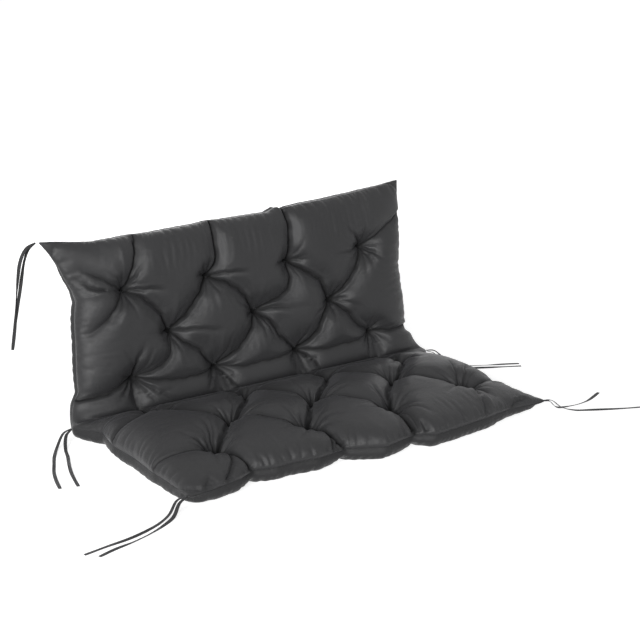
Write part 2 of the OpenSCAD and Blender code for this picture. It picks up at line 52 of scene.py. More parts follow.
def makeCamera(c):
    azimuth, elevation = math.radians(c["azimuth"]), math.radians(c["elevation"])
    back = Vector((math.sin(azimuth) * math.cos(elevation), -math.cos(azimuth) * math.cos(elevation),
                   math.sin(elevation)))
    camera = bpy.data.objects.new("camera", bpy.data.cameras.new("camera"))
    camera.data.lens, camera.data.sensor_width = c["lens"], 36
    turn = back.to_track_quat("Z", "Y").to_matrix().to_4x4() @ Matrix.Rotation(math.radians(c["roll"]), 4, "Z")
    camera.matrix_world = Matrix.Translation(Vector(c["target"]) + back * c["distance"]) @ turn
    bpy.context.collection.objects.link(camera)
    bpy.context.scene.camera = camera


makeCamera(cameraSettings)

# The cushion's sizes in millimetres, as in the part's source
size = {
    "halfWidth": 560, "lastTuft": 412.5, "shift": 20.002, "hingeY": 212.945, "hingeZ": 96,
    "lean": math.radians(9.3), "seamHeight": 40, "backOffset": 61, "foldGap": 0.3, "halfSeam": 0.6,
    "innerArc": 60,
    "foldTufts": (-412.5, -137.5, 137.5, 412.5),    # where the fold is drawn in
    "clear": 0.4,                                   # the cloth stays this far above the floor
}
# Each pad: how full its face is from the fold outwards, and how its edges are rounded and its corners thinned
pads = {
    "seat": {"length": 550, "rows": (102, 268.5, 435), "crown": 70, "tuftDepth": 0.84,
             "profile": [(0, 4), (20, 5), (45, 17), (70, 32), (102, 43), (150, 56), (200, 66), (245, 70), (330, 70)],
             "rearCrown": 40.5, "faceRoundness": 2.8, "rightRoundness": 1.7, "rearRoundness": 4,
             "farDrop": 34, "dropFrom": 330, "taper": ((0.25, 1.2), (0.8, 0.7)),
             "dents": [(-490, 500, 110, 0.16), (480, 470, 90, 0.12)]},
    "back": {"length": 452, "rows": (35, 166, 297), "crown": 58, "tuftDepth": 0.62,
             "profile": [(0, 52), (30, 53), (80, 56), (120, 58), (300, 58)],
             "rearCrown": 35, "faceRoundness": 2.7, "rightRoundness": 2.7, "rearRoundness": 4.0,
             "farDrop": 4, "dropFrom": 300, "taper": ((0.86, 0.7), (0.8, 0.9)), "dents": []},
}


def seatPlace(x, s, h):
    return np.stack([x + size["shift"], size["hingeY"] - s, size["seamHeight"] + h], -1)


def backPlace(x, s, h):
    along, off = s + size["foldGap"], size["backOffset"] - h
    sin, cos = math.sin(size["lean"]), math.cos(size["lean"])
    return np.stack([x + size["shift"], size["hingeY"] + along * sin + off * cos,
                     size["hingeZ"] + along * cos - off * sin], -1)


places = {"seat": seatPlace, "back": backPlace}

# ---- ties: route from the corner in millimetres, the last number is the share of the corner's height
print("stage: ties")
foldEnds = {"left": (-603.504, 212.945, 40), "right": (617.48, 212.945, 40)}
seatCorners = {"left": (-563.506, -368.555, 40), "right": (621.498, -338.555, 40)}
topLeft = (-621.498, 347.772, 541.872)
ties = {
    "frontLeftTieLong": {"node": "front_left_tie_long", "at": seatCorners["left"], "twist": 0.35,
        "route": [(-1, 0, 1.03), (-30, 2, 0.86), (-58, -10, 0.22), (-100, -30, 0), (-150, -52, 0),
                  (-200, -66, 0), (-260, -74, 0), (-325, -86, 0)]},
    "frontLeftTieShort": {"node": "front_left_tie_short", "at": seatCorners["left"], "twist": -0.5,
        "route": [(-1, -1, 0.97), (-28, -8, 0.76), (-54, -24, 0.15), (-96, -46, 0), (-145, -70, 0),
                  (-195, -86, 0), (-250, -98, 0), (-300, -114, 0)]},
    "frontRightTieLong": {"node": "front_right_tie_long", "at": seatCorners["right"], "twist": -0.4,
        "route": [(1, 0, 1.03), (30, -4, 0.9), (62, -14, 0.25), (100, -36, 0), (145, -62, 0),
                  (190, -84, 0), (235, -104, 0), (275, -120, 0)]},
    "frontRightTieShort": {"node": "front_right_tie_short", "at": seatCorners["right"], "twist": 0.5,
        "route": [(1, 1, 0.97), (30, 6, 0.76), (60, 8, 0.12), (100, 4, 0), (135, 0, 0),
                  (175, 6, 0), (215, 22, 0), (255, 42, 0)]},
    "foldLeftTieLong": {"node": "fold_left_tie_long", "at": foldEnds["left"], "twist": 0.4,
        "route": [(-1, 0, 1.03), (-30, -8, 0.86), (-58, -28, 0.2), (-86, -70, 0), (-110, -120, 0),
                  (-134, -172, 0), (-152, -225, 0), (-166, -278, 0)]},
    "foldLeftTieShort": {"node": "fold_left_tie_short", "at": foldEnds["left"], "twist": -0.4,
        "route": [(-1, 0, 0.97), (-24, -14, 0.7), (-40, -42, 0.08), (-56, -90, 0), (-76, -140, 0),
                  (-94, -190, 0), (-108, -240, 0), (-120, -290, 0)]},
    "foldRightTieLong": {"node": "fold_right_tie_long", "at": foldEnds["right"], "twist": 0.45,
        "route": [(1, 0, 1.03), (32, -2, 0.85), (58, -20, 0.2), (72, -60, 0), (92, -98, 0),
                  (130, -122, 0), (182, -146, 0), (236, -172, 0)]},
    "foldRightTieShort": {"node": "fold_right_tie_short", "at": foldEnds["right"], "twist": -0.45,
        "route": [(1, 0, 0.97), (26, -8, 0.7), (44, -34, 0.08), (54, -76, 0), (72, -114, 0),
                  (112, -140, 0), (164, -164, 0), (226, -194, 0)]},
    "topLeftTieLong": {"node": "top_left_tie_long", "at": topLeft, "twist": 0.9, "hangs": True,
        "route": [(-0.4, -1.2, 0), (-30, -4, -12), (-50, -6, -44), (-60, -7, -90), (-68, -9, -140),
                  (-74, -11, -190), (-82, -14, -238), (-92, -18, -285)]},
    "topLeftTieShort": {"node": "top_left_tie_short", "at": topLeft, "twist": -0.8, "hangs": True,
        "route": [(-0.4, 1.2, 0), (-20, 3, -16), (-34, 4, -48), (-44, 3, -90), (-54, 1, -135),
                  (-66, -2, -180), (-76, -6, -222), (-86, -11, -264)]},
}
tapes = {
    "width": 10, "thickness": 1.1, "lie": 1.0, "step": 4, "clear": 0.3,
    "gathered": 0.5, "gatheredOver": 14,    # share of the width, and the length over which it is sewn in
    "cup": 0.5, "end": (0.94, 0.9, 0.86),   # slight cupping over the width, and the narrower last rings
    "rollWaves": 7.3, "cupWaves": 19,
    "section": [(-1, 0), (-0.93, 1), (-0.5, 0.8), (0, 0.7), (0.5, 0.8), (0.93, 1), (1, 0),
                (0.93, -1), (0.5, -0.8), (0, -0.7), (-0.5, -0.8), (-0.93, -1)],
}


def runAlong(points):
    return np.concatenate([[0], np.cumsum(np.linalg.norm(np.diff(points, axis=0), axis=1))])


def smoothRoute(points, step):
    # A Catmull-Rom curve through the points, with rings a step apart
    p = np.array(points, float)
    p = np.vstack([2 * p[0] - p[1], p, 2 * p[-1] - p[-2]])
    t = np.linspace(0, 1, 40, endpoint=False)[:, None]
    parts = [0.5 * (2 * b + (c - a) * t + (2 * a - 5 * b + 4 * c - d) * t ** 2 + (3 * b - a - 3 * c + d) * t ** 3)
             for a, b, c, d in zip(p, p[1:], p[2:], p[3:])]
    line = np.vstack(parts + [p[-2:-1]])
    run = runAlong(line)
    at = np.linspace(0, run[-1], max(12, round(run[-1] / step)) + 1)
    return np.stack([np.interp(at, run, line[:, k]) for k in range(3)], 1), run[-1]


def unit(v):
    return v / np.linalg.norm(v, axis=-1, keepdims=True)


def addMesh(name, points, faces, cut):
    # Points are in millimetres; cut holds each point's place on the flat cloth
    mesh = bpy.data.meshes.new(name)
    points = np.asarray(points, float) / 1000
    mesh.from_pydata(points.tolist(), [], [tuple(int(i) for i in f) for f in faces])
    corners = np.empty(len(mesh.loops), np.int32)
    mesh.loops.foreach_get("vertex_index", corners)
    layer = mesh.uv_layers.new(name="cut")
    layer.uv.foreach_set("vector", (np.asarray(cut, float)[corners] / 1000).astype(np.float32).ravel())
    mesh.shade_smooth()
    piece = bpy.data.objects.new(name, mesh)
    bpy.context.collection.objects.link(piece)
    return piece


def sweptFaces(rings, sides, closed=False):
    last = rings if closed else rings - 1
    faces = [(k * sides + i, k * sides + (i + 1) % sides,
              (k + 1) % rings * sides + (i + 1) % sides, (k + 1) % rings * sides + i)
             for k in range(last) for i in range(sides)]
    if not closed:
        faces += [tuple(range(sides))[::-1], tuple(range((rings - 1) * sides, rings * sides))]
    return faces


def makeTie(name, t):
    corner, lie, hangs = np.array(t["at"]), tapes["lie"], t.get("hangs", False)
    if hangs:
        points = corner + np.array(t["route"], float)
    else:
        points = [(corner[0] + x, corner[1] + y, lie + (corner[2] - lie) * z) for x, y, z in t["route"]]
    path, length = smoothRoute(points, tapes["step"])
    along = unit(np.gradient(path, axis=0))
    across = unit(np.cross((0.0, -1, 0) if hangs else (0.0, 0, 1), along))
    up = np.cross(along, across)
    share = np.linspace(0, 1, len(path))
    # The tape rolls a little on its way, and lies flat again at its end
    roll = (t["twist"] * np.sin(share * math.pi) * np.sin(share * tapes["rollWaves"] + 0.6))[:, None]
    across, up = across * np.cos(roll) + up * np.sin(roll), up * np.cos(roll) - across * np.sin(roll)
    half, thick = tapes["width"] / 2, tapes["thickness"] / 2
    narrow = 1 - tapes["gathered"] * np.exp(-share * length / tapes["gatheredOver"])
    narrow[-3:] *= tapes["end"]
    cup = tapes["cup"] * np.sin(share * tapes["cupWaves"])
    points, cut = [], []
    for k in range(len(path)):
        for a, b in tapes["section"]:
            points.append(path[k] + across[k] * a * half * narrow[k] + up[k] * (cup[k] * (1 - a * a) + b * thick))
            cut.append((a * half + (2 * tapes["width"] if b < 0 else 0), share[k] * length))
    points = np.array(points)
    if not hangs:
        points[:, 2] = np.maximum(points[:, 2], tapes["clear"])
    piece = addMesh(name, points, sweptFaces(len(path), len(tapes["section"])), cut)
    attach(piece, "back" if hangs else "seat")
    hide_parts(t["node"])
    return piece


tiePieces = [makeTie(name, t) for name, t in ties.items()]

# ---- outline of the cushion: places of its seam, measured from the fold
outline = {
    "seatFront": [(-640, 574), (-575, 587), (-500, 577), (-420, 561), (-366, 532), (-300, 548), (-254, 546),
                  (-175, 557), (-83, 542), (17, 589), (126, 563), (180, 594), (253, 587), (380, 570),
                  (477, 550), (560, 556), (640, 554)],
    "backTop": [(-650, 462), (-600, 458), (-568, 453), (-477, 440), (-387, 441), (-292, 440), (-111, 446),
                (26, 446), (90, 446), (122, 458), (138, 444), (157, 452), (210, 457), (291, 459), (383, 466),
                (475, 473), (540, 481), (585, 485)],
    "seatLeft": [(0, 622), (30, 602), (79, 569), (182, 586), (292, 580), (402, 586), (500, 581), (560, 582)],
    "seatRight": [(0, 596), (40, 562), (77, 530), (136, 540), (224, 553), (290, 560), (366, 558), (396, 554),
                  (440, 568), (500, 580), (550, 606)],
    "backLeft": [(0, 591), (30, 570), (55, 570), (99, 567), (168, 560), (236, 556), (282, 547), (319, 555),
                 (352, 571), (390, 587), (425, 609), (462, 641)],
    "backRight": [(0, 569), (19, 547), (60, 542), (111, 541), (161, 536), (235, 533), (301, 546), (379, 560),
                  (440, 572), (480, 583)],
    "plain": 578,           # further out than this is an ear, which draws the cloth near the seam only
    "softness": 7,
}


def outlineAt(name, at):
    # The outline's points joined by a softly rounded line
    known, bell = np.array(outline[name], float), np.linspace(-1.5, 1.5, 13)
    weights = np.exp(-bell ** 2)
    values = [np.interp(at + d, known[:, 0], known[:, 1]) for d in bell * outline["softness"]]
    return np.tensordot(weights / weights.sum(), np.array(values), 1)


def roundEdge(t, r):
    return (1 - np.clip(t, 0, 1) ** r) ** (1 / r)


def stripShares(width, height, r, step):
    # Shares of a side strip whose lines are evenly spaced over its rounded edge
    fine = 1 - np.linspace(1, 0, 4000) ** 2
    run = np.concatenate([[0], np.cumsum(np.hypot(np.diff(fine) * width, np.diff(roundEdge(fine, r)) * height))])
    count = max(4, round(run[-1] / step))
    return np.interp(np.linspace(0, run[-1], count + 1), run, fine)


# ---- tufts and creases on each pad, in millimetres from its middle and from the fold
tufts = {
    "back": [(-409, 46), (-141, 30), (141, 29), (410, 38), (-279, 159), (7, 168), (274, 159),
             (-409, 295), (-139, 294), (133, 299), (399, 304)],
    "seat": [(-412, 102), (-135, 98), (138, 102), (401, 106), (-277, 279), (-8, 279), (278, 265),
             (-414, 430), (-132, 431), (138, 444), (420, 420)],
}
# Main creases, where a single number is one of the tufts: points, share of the crown that they take, reach to
# each side, depth of the sharp line in them
creases = {
    "back": [
        ([7, (-361, 269), (-327, 235), (-305, 205), 4], 0.4, 80, 8),
        ([8, (-176, 254), (-202, 226), (-243, 189), 4], 0.4, 80, 9),
        ([8, (-88, 269), (-50, 242), (-27, 212), 5], 0.4, 80, 9),
        ([9, (130, 257), (120, 229), (101, 207), (53, 189), 5], 0.4, 80, 8),
        ([9, (186, 260), (228, 231), (247, 196), 6], 0.4, 80, 10),
        ([10, (386, 280), (360, 243), (325, 203), 6], 0.38, 80, 7),
        ([4, (-238, 118), (-196, 87), (-173, 56), 1], 0.4, 80, 8),
        ([4, (-290, 110), (-309, 82), (-348, 60), 0], 0.26, 60, 5),
        ([5, (-19, 127), (-55, 85), (-92, 62), 1], 0.36, 76, 7), ([5, (53, 123), (84, 76), 2], 0.4, 80, 9),
        ([6, (231, 115), (204, 74), 2], 0.4, 80, 9), ([6, (323, 112), (350, 75), 3], 0.4, 80, 8),
        ([0, (-339, 30), (-263, 20), (-210, 22), 1], 0.2, 44, 5.5), ([1, (-54, 20), (34, 22), 2], 0.2, 44, 5),
        ([2, (228, 20), (321, 24), 3], 0.2, 44, 5), ([0, (-473, 28), (-517, 17), (-600, 9)], 0.34, 55, 8),
        ([3, (465, 36), (570, 32)], 0.34, 55, 7), ([7, (-386, 350), (-368, 392), (-353, 460)], 0.32, 60, 6),
        ([8, (-116, 338), (-115, 378), (-106, 470)], 0.38, 66, 9),
        ([9, (138, 353), (142, 415), (137, 480)], 0.4, 66, 12),
        ([10, (448, 331), (498, 360), (575, 400)], 0.3, 60, 5),
        ([7, (-449, 317), (-477, 338), (-530, 372)], 0.24, 48, 5),
        ([7, (-437, 264), (-466, 232), (-525, 192)], 0.24, 48, 5), ([0, (-416, 0), (-414, -50)], 0.34, 50, 7),
        ([1, (-116, -8), (-80, -62)], 0.34, 50, 10), ([2, (186, -20), (200, -70)], 0.34, 50, 10),
    ],
    "seat": [
        ([7, (-352, 372), (-318, 330), 4], 0.42, 80, 12), ([8, (-190, 372), (-232, 318), 4], 0.32, 76, 4),
        ([8, (-82, 372), (-44, 318), 5], 0.42, 80, 13), ([9, (96, 384), (48, 330), 5], 0.34, 76, 4),
        ([9, (178, 378), (226, 322), 6], 0.42, 80, 12), ([10, (372, 376), (328, 318), 6], 0.34, 76, 4),
        ([0, (-376, 176), (-330, 238), 4], 0.36, 76, 5), ([1, (-164, 166), (-214, 232), 4], 0.42, 80, 11),
        ([1, (-98, 166), (-50, 234), 5], 0.36, 76, 5), ([2, (106, 172), (48, 236), 5], 0.42, 80, 12),
        ([2, (172, 166), (222, 222), 6], 0.36, 76, 5), ([3, (380, 168), (334, 222), 6], 0.42, 80, 11),
        ([0, (-340, 92), (-230, 90), 1], 0.32, 60, 6), ([1, (-50, 88), (50, 90), 2], 0.32, 60, 6),
        ([2, (220, 90), (320, 94), 3], 0.32, 60, 6), ([0, (-412, -20)], 1, 55, 5), ([1, (-137, -20)], 1, 55, 5),
        ([2, (137, -20)], 1, 55, 5), ([3, (410, -20)], 1, 55, 5), ([7, (-392, 470), (-372, 560)], 0.5, 62, 14),
        ([8, (-108, 480), (-84, 580)], 0.5, 62, 16), ([9, (130, 500), (126, 590)], 0.46, 60, 15),
        ([10, (430, 466), (440, 500)], 0.22, 50, 5), ([0, (-470, 130), (-600, 190)], 0.3, 60, 5),
        ([3, (450, 104), (560, 80)], 0.34, 60, 7), ([7, (-470, 428), (-600, 410)], 0.22, 60, 4),
        ([10, (460, 420), (580, 394)], 0.36, 60, 6),
    ],
}
# Pleats on their own, near the front of the seat: points and depth
pleats = {
    "back": [],
    "seat": [
        ([(-402, 447), (-417, 517), (-464, 571), (-483, 608)], 10), ([(-504, 551), (-534, 581), (-557, 614)], 5),
        ([(-119, 471), (-116, 518), (-137, 578)], 10), ([(-105, 492), (-102, 522), (-127, 573)], 8),
        ([(146, 452), (149, 517), (139, 577)], 8), ([(158, 542), (154, 593), (153, 617)], 7),
        ([(139, 541), (116, 590), (94, 629)], 9), ([(419, 443), (392, 512)], 8), ([(392, 521), (371, 574)], 4),
        ([(457, 286), (403, 416)], 5), ([(496, 313), (411, 421)], 6), ([(550, 535), (499, 538), (457, 581)], 6),
        ([(-112, 408), (-124, 463), (-118, 502)], 8),
    ],
}
# Slighter folds that start at a tuft and fade out
folds = {
    "back": [
        [4, (-214, 155), (-130, 140)], [5, (66, 174), (168, 161)], [6, (223, 160)], [10, (335, 298), (274, 301)],
        [10, (328, 376)], [10, (415, 248)], [10, (456, 255)], [0, (-405, 96), (-387, 139)], [2, (169, 100)],
        [3, (429, 81)], [7, (-346, 289), (-300, 282)], [8, (-194, 305)], [8, (-78, 296), (-20, 290)],
        [9, (190, 296)], [9, (60, 296)], [7, (-375, 339), (-349, 367)], [(-474, 306), (-504, 317), (-548, 352)],
        [5, (14, 110)], [1, (-190, 4)], [0, (-360, 2)], [3, (350, 0)], [4, (-330, 165)], [4, (-262, 100)],
        [5, (-50, 160)], [6, (330, 160)], [1, (-90, 0)], [2, (95, -2)], [0, (-395, -5)], [6, (270, 100)],
        [0, (-380, 0), (-344, -54)], [0, (-340, -8), (-285, -55)], [1, (-193, -25)], [1, (-120, -20), (-106, -66)],
        [2, (150, -20), (156, -60)], [3, (390, 0), (374, -45)], [3, (426, 0), (433, -38)],
        [0, (-440, 20), (-480, -10)], [5, (40, 120), (52, 80)], [5, (20, 120), (16, 84)], [6, (300, 210)],
    ],
    "seat": [
        [4, (-221, 290), (-170, 300)], [7, (-421, 370)], [4, (-330, 290)], [8, (-70, 440)], [8, (-190, 446)],
        [9, (200, 452)], [5, (50, 276)], [5, (-60, 284)], [6, (340, 262)], [6, (270, 330)], [5, (-12, 340)],
        [4, (-286, 340)], [10, (440, 380)], [7, (-450, 480)], [9, (90, 470)], [7, (-480, 400)], [7, (-470, 370)],
        [9, (210, 480)], [9, (190, 500)], [8, (-70, 480)], [4, (-300, 215)], [5, (10, 220)], [6, (300, 205)],
        [3, (440, 150)], [2, (160, 50)], [10, (470, 470)], [(-410, 423), (-393, 336), (-396, 298)],
        [(-415, 427), (-439, 391), (-467, 380)], [(-414, 434), (-387, 369), (-373, 328)],
        [(-402, 422), (-363, 399), (-336, 396)], [(155, 436), (182, 445), (209, 483)],
        [(152, 425), (150, 385), (150, 326)],
    ],
}


def lineDistance(x, s, points):
    # Distance to a line of points, how far along the line that is (0 to 1), and on which side of it
    points = np.array(points, float)
    parts = np.linalg.norm(np.diff(points, axis=0), axis=1)
    start = np.concatenate([[0], np.cumsum(parts)])
    best, along, side = np.full(x.shape, 1e9), np.zeros(x.shape), np.ones(x.shape)
    for a, b, length, before in zip(points, points[1:], parts, start):
        t = np.clip(((x - a[0]) * (b[0] - a[0]) + (s - a[1]) * (b[1] - a[1])) / length ** 2, 0, 1)
        d = np.hypot(x - a[0] - t * (b[0] - a[0]), s - a[1] - t * (b[1] - a[1]))
        left = (b[0] - a[0]) * (s - a[1]) - (b[1] - a[1]) * (x - a[0])
        along = np.where(d < best, (before + t * length) / start[-1], along)
        side = np.where(d < best, np.sign(left), side)
        best = np.minimum(best, d)
    return best, along, side


def nearLine(x, s, points, reach):
    # The same, worked out only where it matters
    points = np.array(points, float)
    low, high = points.min(0) - reach, points.max(0) + reach
    near = (x > low[0]) & (x < high[0]) & (s > low[1]) & (s < high[1])
    return near, *lineDistance(x[near], s[near], points)


def linePoints(pad, points):
    # A number among the points stands for the tuft of that number
    return [tufts[pad][p] if isinstance(p, int) else p for p in points]


def softLine(points, kink=0.0):
    # A smooth line through the points; a real crease also wanders a little
    line, _ = smoothRoute([(x, s, 0) for x, s in points], 12)
    line = line[:, :2]
    if kink and len(line) > 6:
        side = unit(np.gradient(line, axis=0)[:, ::-1] * (-1, 1))
        run = np.arange(len(line))
        wander = np.sin(run * 1.9 + points[0][0]) + np.sin(run * 0.83 + points[0][1])
        line = line + side * (kink * wander * np.sin(np.pi * run / run[-1]))[:, None]
    return line


puffs = {"valley": 0.6, "tuftReach": 66, "junctionDepth": 0.30}


def puffLeft(pad, x, s, face):
    # Share of the crown that is left, 1 on top of a puff
    valley = np.zeros(x.shape)
    for points, share, reach, _ in creases[pad]:
        near, d, *_ = nearLine(x, s, softLine(linePoints(pad, points)), reach)
        valley[near] = np.maximum(valley[near], puffs["valley"] * share * (1 - np.minimum(1, d / reach)) ** 1.8)
    far = np.min([np.hypot(x - tx, s - ts) for tx, ts in tufts[pad]], axis=0)
    left = (1 - valley) * (1 - pads[pad]["tuftDepth"] * (1 - np.minimum(1, far / puffs["tuftReach"])) ** 2)
    if face:
        far = np.min([np.hypot(x - e, s) for e in size["foldTufts"]], axis=0)
        left = left * (1 - puffs["junctionDepth"] * (1 - np.minimum(1, far / puffs["tuftReach"])) ** 2)
    return left


# Short folds that run in from the seam: closer together and longer where it is drawn in
puckers = {"gap": 24, "depth": 3.4, "reach": 6, "side": (22, 62), "plain": (18, 50), "drawn": (30, 74),
           "drawnAt": {"seat": (-370, -84, 126), "back": (-360, -108, 138, 400)}, "drawnWidth": 45,
           "from": -545.0, "to": 545, "sideFrom": 12.0, "sideTo": 10, "spread": (0.5, 1.5), "closer": 0.55,
           "sideSlant": 0.45, "endSlant": 0.5, "past": 1.01}    # each starts a little past the seam


def seamPuckers(pad, rng):
    p, lines = puckers, []
    for name, sign in (("Left", -1), ("Right", 1)):
        s = p["sideFrom"]
        while s < pads[pad]["length"] - p["sideTo"]:
            length = rng.uniform(*p["side"])
            x = sign * float(outlineAt(pad + name, s))
            inner = (x - sign * length, s + rng.uniform(-p["sideSlant"], p["sideSlant"]) * length)
            lines.append(([(x * p["past"], s), inner], rng.uniform(0.4, 1)))
            s += p["gap"] * rng.uniform(*p["spread"])
    x = p["from"]
    while x < p["to"]:
        s = float(outlineAt("seatFront" if pad == "seat" else "backTop", x))
        drawn = min(abs(x - k) for k in p["drawnAt"][pad]) < p["drawnWidth"]
        length = rng.uniform(*p["drawn" if drawn else "plain"])
        inner = (x + rng.uniform(-p["endSlant"], p["endSlant"]) * length, s - length)
        lines.append(([(x, s * p["past"]), inner], rng.uniform(0.5, 1.1)))
        x += p["gap"] * rng.uniform(*p["spread"]) * (p["closer"] if drawn else 1)
    return lines


# Extra folds round each tuft besides its main creases, at even turns from a random start
fans = {"back": {"count": 8, "length": (36, 96), "depth": 1},
        "seat": {"count": 12, "length": (44, 120), "depth": 1.25}}


def tuftFans(pad, rng):
    f, lines = fans[pad], []
    for tx, ts in tufts[pad]:
        turn = rng.uniform(0, 2 * math.pi)
        for k in range(f["count"]):
            angle = turn + (k + rng.uniform(-0.3, 0.3)) * 2 * math.pi / f["count"]
            length = rng.uniform(*f["length"])
            bow = rng.uniform(-0.18, 0.18)
            middle = (tx + math.cos(angle + bow) * length / 2, ts + math.sin(angle + bow) * length / 2)
            lines.append(([(tx, ts), middle, (tx + math.cos(angle) * length, ts + math.sin(angle) * length)],
                          rng.uniform(0.45, 0.95)))
    return lines


relief = {
    "notch": 1.15, "foldDepth": 7.6,                    # depth of a crease's sharp line, and of a slighter fold
    "line": 3.4, "shadeCore": 3.2, "wider": 8,               # width of the line and of its core of painted shade; deeper ones are wider
    "under": 11, "reach": 44,                           # width of the side that runs in under, and of it all
    "lip": 0.16, "lipAt": 9, "lipWidth": 6,             # the puff that hangs over the line
    "pleat": (5, 9), "pleatShade": 0.45,                 # widths of a pleat's two sides, and the strength of the painted shade in it
    "kink": {"crease": 1.1, "fold": 1.2, "fan": 0.6},   # how far each kind wanders from its drawn line
    "shade": {"seat": 0.5, "back": 0.3},                # soft painted shade beside the creases and the tufts
    # widths of the painted shade beside a crease, and of the soft and the black painted shade round a tuft
    "shadeWidth": 11, "tuftShade": 24, "tuftShadeCore": 7,
    "seamNear": (540, 45), "tuftNear": 15,              # a crease that ends further from these fades on its puff
}
# Slighter folds: share of the fold depth, width where they start and where they end, strength of their painted shade
foldKinds = {"fold": {"share": 1.5, "width": (3.2, 8), "shadeStrength": 0.75},
             "fan": {"share": 1, "width": (2.8, 8), "shadeStrength": 0.5}}


def stopsOnPuff(pad, end):
    # Whether a crease ends neither at a seam nor at a tuft
    side, front = relief["seamNear"]
    return (abs(end[0]) < side and 0 < end[1] < pads[pad]["length"] - front
            and min(math.dist(end, tuft) for tuft in tufts[pad]) > relief["tuftNear"])


def fineRelief(pad, x, s, face, rng):
    # Depth of the creases, folds and puckers at each point in millimetres, and how much painted shade darkens the
    # cloth there
    r, depth, line, lip = relief, np.zeros(x.shape), np.zeros(x.shape), np.zeros(x.shape)

    def press(found, sharp, strength, over, under, shadeStrength):
        # The sharp line, the puff that stands up beside it, and the painted shade along it: a dark core with softer
        # shade beside it
        near, d, _, side = found
        depth[near] = np.maximum(depth[near], r["notch"] * sharp * strength * np.where(side > 0, over, under))
        lip[near] += r["lip"] * sharp * strength * np.exp(-((d - r["lipAt"]) / r["lipWidth"]) ** 2) * (side > 0)
        shadeCore = np.exp(-(d / r["shadeCore"] / max(1, sharp / r["wider"])) ** 2)
        shade = np.maximum(shadeCore, r["shade"][pad] * np.exp(-(d / r["shadeWidth"]) ** 2))
        line[near] = np.maximum(line[near], shadeStrength * strength * shade)

    def crease(points, sharp):
        # One puff hangs over the line, and the cloth on the other side runs in under it
        found = nearLine(x, s, softLine(points, r["kink"]["crease"]), r["reach"])
        _, d, along, _ = found
        strength = 0.8 + 0.2 * np.abs(1 - 2 * along)
        if stopsOnPuff(pad, points[-1]):
            strength = strength * np.clip((1 - along) * 2.6, 0, 1) ** 0.8
        over = np.exp(-(d / r["line"] / max(1, sharp / r["wider"])) ** 1.6)
        press(found, sharp, strength, over, 0.35 * over + 0.65 * np.exp(-d / r["under"]), min(1, sharp / 6))

    def pleat(points, sharp):
        # Softer, and it fades at both ends
        found = nearLine(x, s, softLine(points, r["kink"]["crease"]), r["reach"])
        _, d, along, _ = found
        strength = np.clip(along * 4, 0, 1) ** 0.7 * np.clip((1 - along) * 5, 0, 1) ** 0.7
        over, under = np.exp(-(d / r["pleat"][0]) ** 2), np.exp(-(d / r["pleat"][1]) ** 1.6)
        press(found, sharp, strength, over, under, r["pleatShade"])

    def fold(points, kind, depthShare):
        near, d, along, side = nearLine(x, s, softLine(points, r["kink"][kind]), 40)
        (narrow, wide), shadeStrength = foldKinds[kind]["width"], foldKinds[kind]["shadeStrength"]
        share = foldKinds[kind]["share"] * depthShare
        fade = np.clip(1.06 - along, 0, 1) ** 0.8
        reach = narrow + (wide - narrow) * along
        groove = share * fade * np.exp(-(np.hypot(d, 0.6) / reach) ** 1.5)
        depth[near] = (depth[near] ** 3 + groove ** 3) ** (1 / 3)
        lip[near] += 0.22 * share * fade * np.exp(-((d - 2.1 * reach) / (0.9 * reach)) ** 2) * (side > 0)
        # Painted shade along the fold, fading with it
        line[near] = np.maximum(line[near], shadeStrength * fade * np.exp(-(d / r["line"]) ** 2))

    if face:
        for points, _, _, sharp in creases[pad]:
            crease(linePoints(pad, points), sharp)
        for points, sharp in pleats[pad]:
            pleat(points, sharp)
        for points in folds[pad]:
            fold(linePoints(pad, points), "fold", r["foldDepth"])
    for points, share in tuftFans(pad, rng):
        fold(points, "fan", share * r["foldDepth"] * fans[pad]["depth"])
    for points, share in seamPuckers(pad, rng):
        near, d, along, _ = nearLine(x, s, points, 24)
        reach = puckers["reach"] * (0.7 + 0.9 * along)
        depth[near] += share * puckers["depth"] * (1 - along) ** 0.8 * np.exp(-(d / reach) ** 2)
    # Painted shade round each tuft: black at its middle, and softer further out
    for tx, ts in tufts[pad]:
        far = np.hypot(x - tx, s - ts)
        shadeStrength, softShade = np.exp(-(far / r["tuftShadeCore"]) ** 2), r["shade"][pad] * np.exp(-(far / r["tuftShade"]) ** 2)
        line = np.maximum(line, np.maximum(shadeStrength, softShade))
    return depth - lip * np.clip(1 - depth / 4, 0, 1), line


def crownAt(pad, s, face):
    # The face is fullest in the middle of the seat, and lower towards its front
    p = pads[pad]
    if not face:
        return np.full(np.shape(s), float(p["rearCrown"]))
    known = np.array(p["profile"], float)
    spread, weights = np.linspace(-24, 24, 9), np.exp(-np.linspace(-1.6, 1.6, 9) ** 2)
    full = sum(w * np.interp(s + d, known[:, 0], known[:, 1]) for d, w in zip(spread, weights)) / weights.sum()
    return full - p["farDrop"] * np.clip((s - p["dropFrom"]) / (p["length"] - p["dropFrom"]), 0, 1) ** 1.2


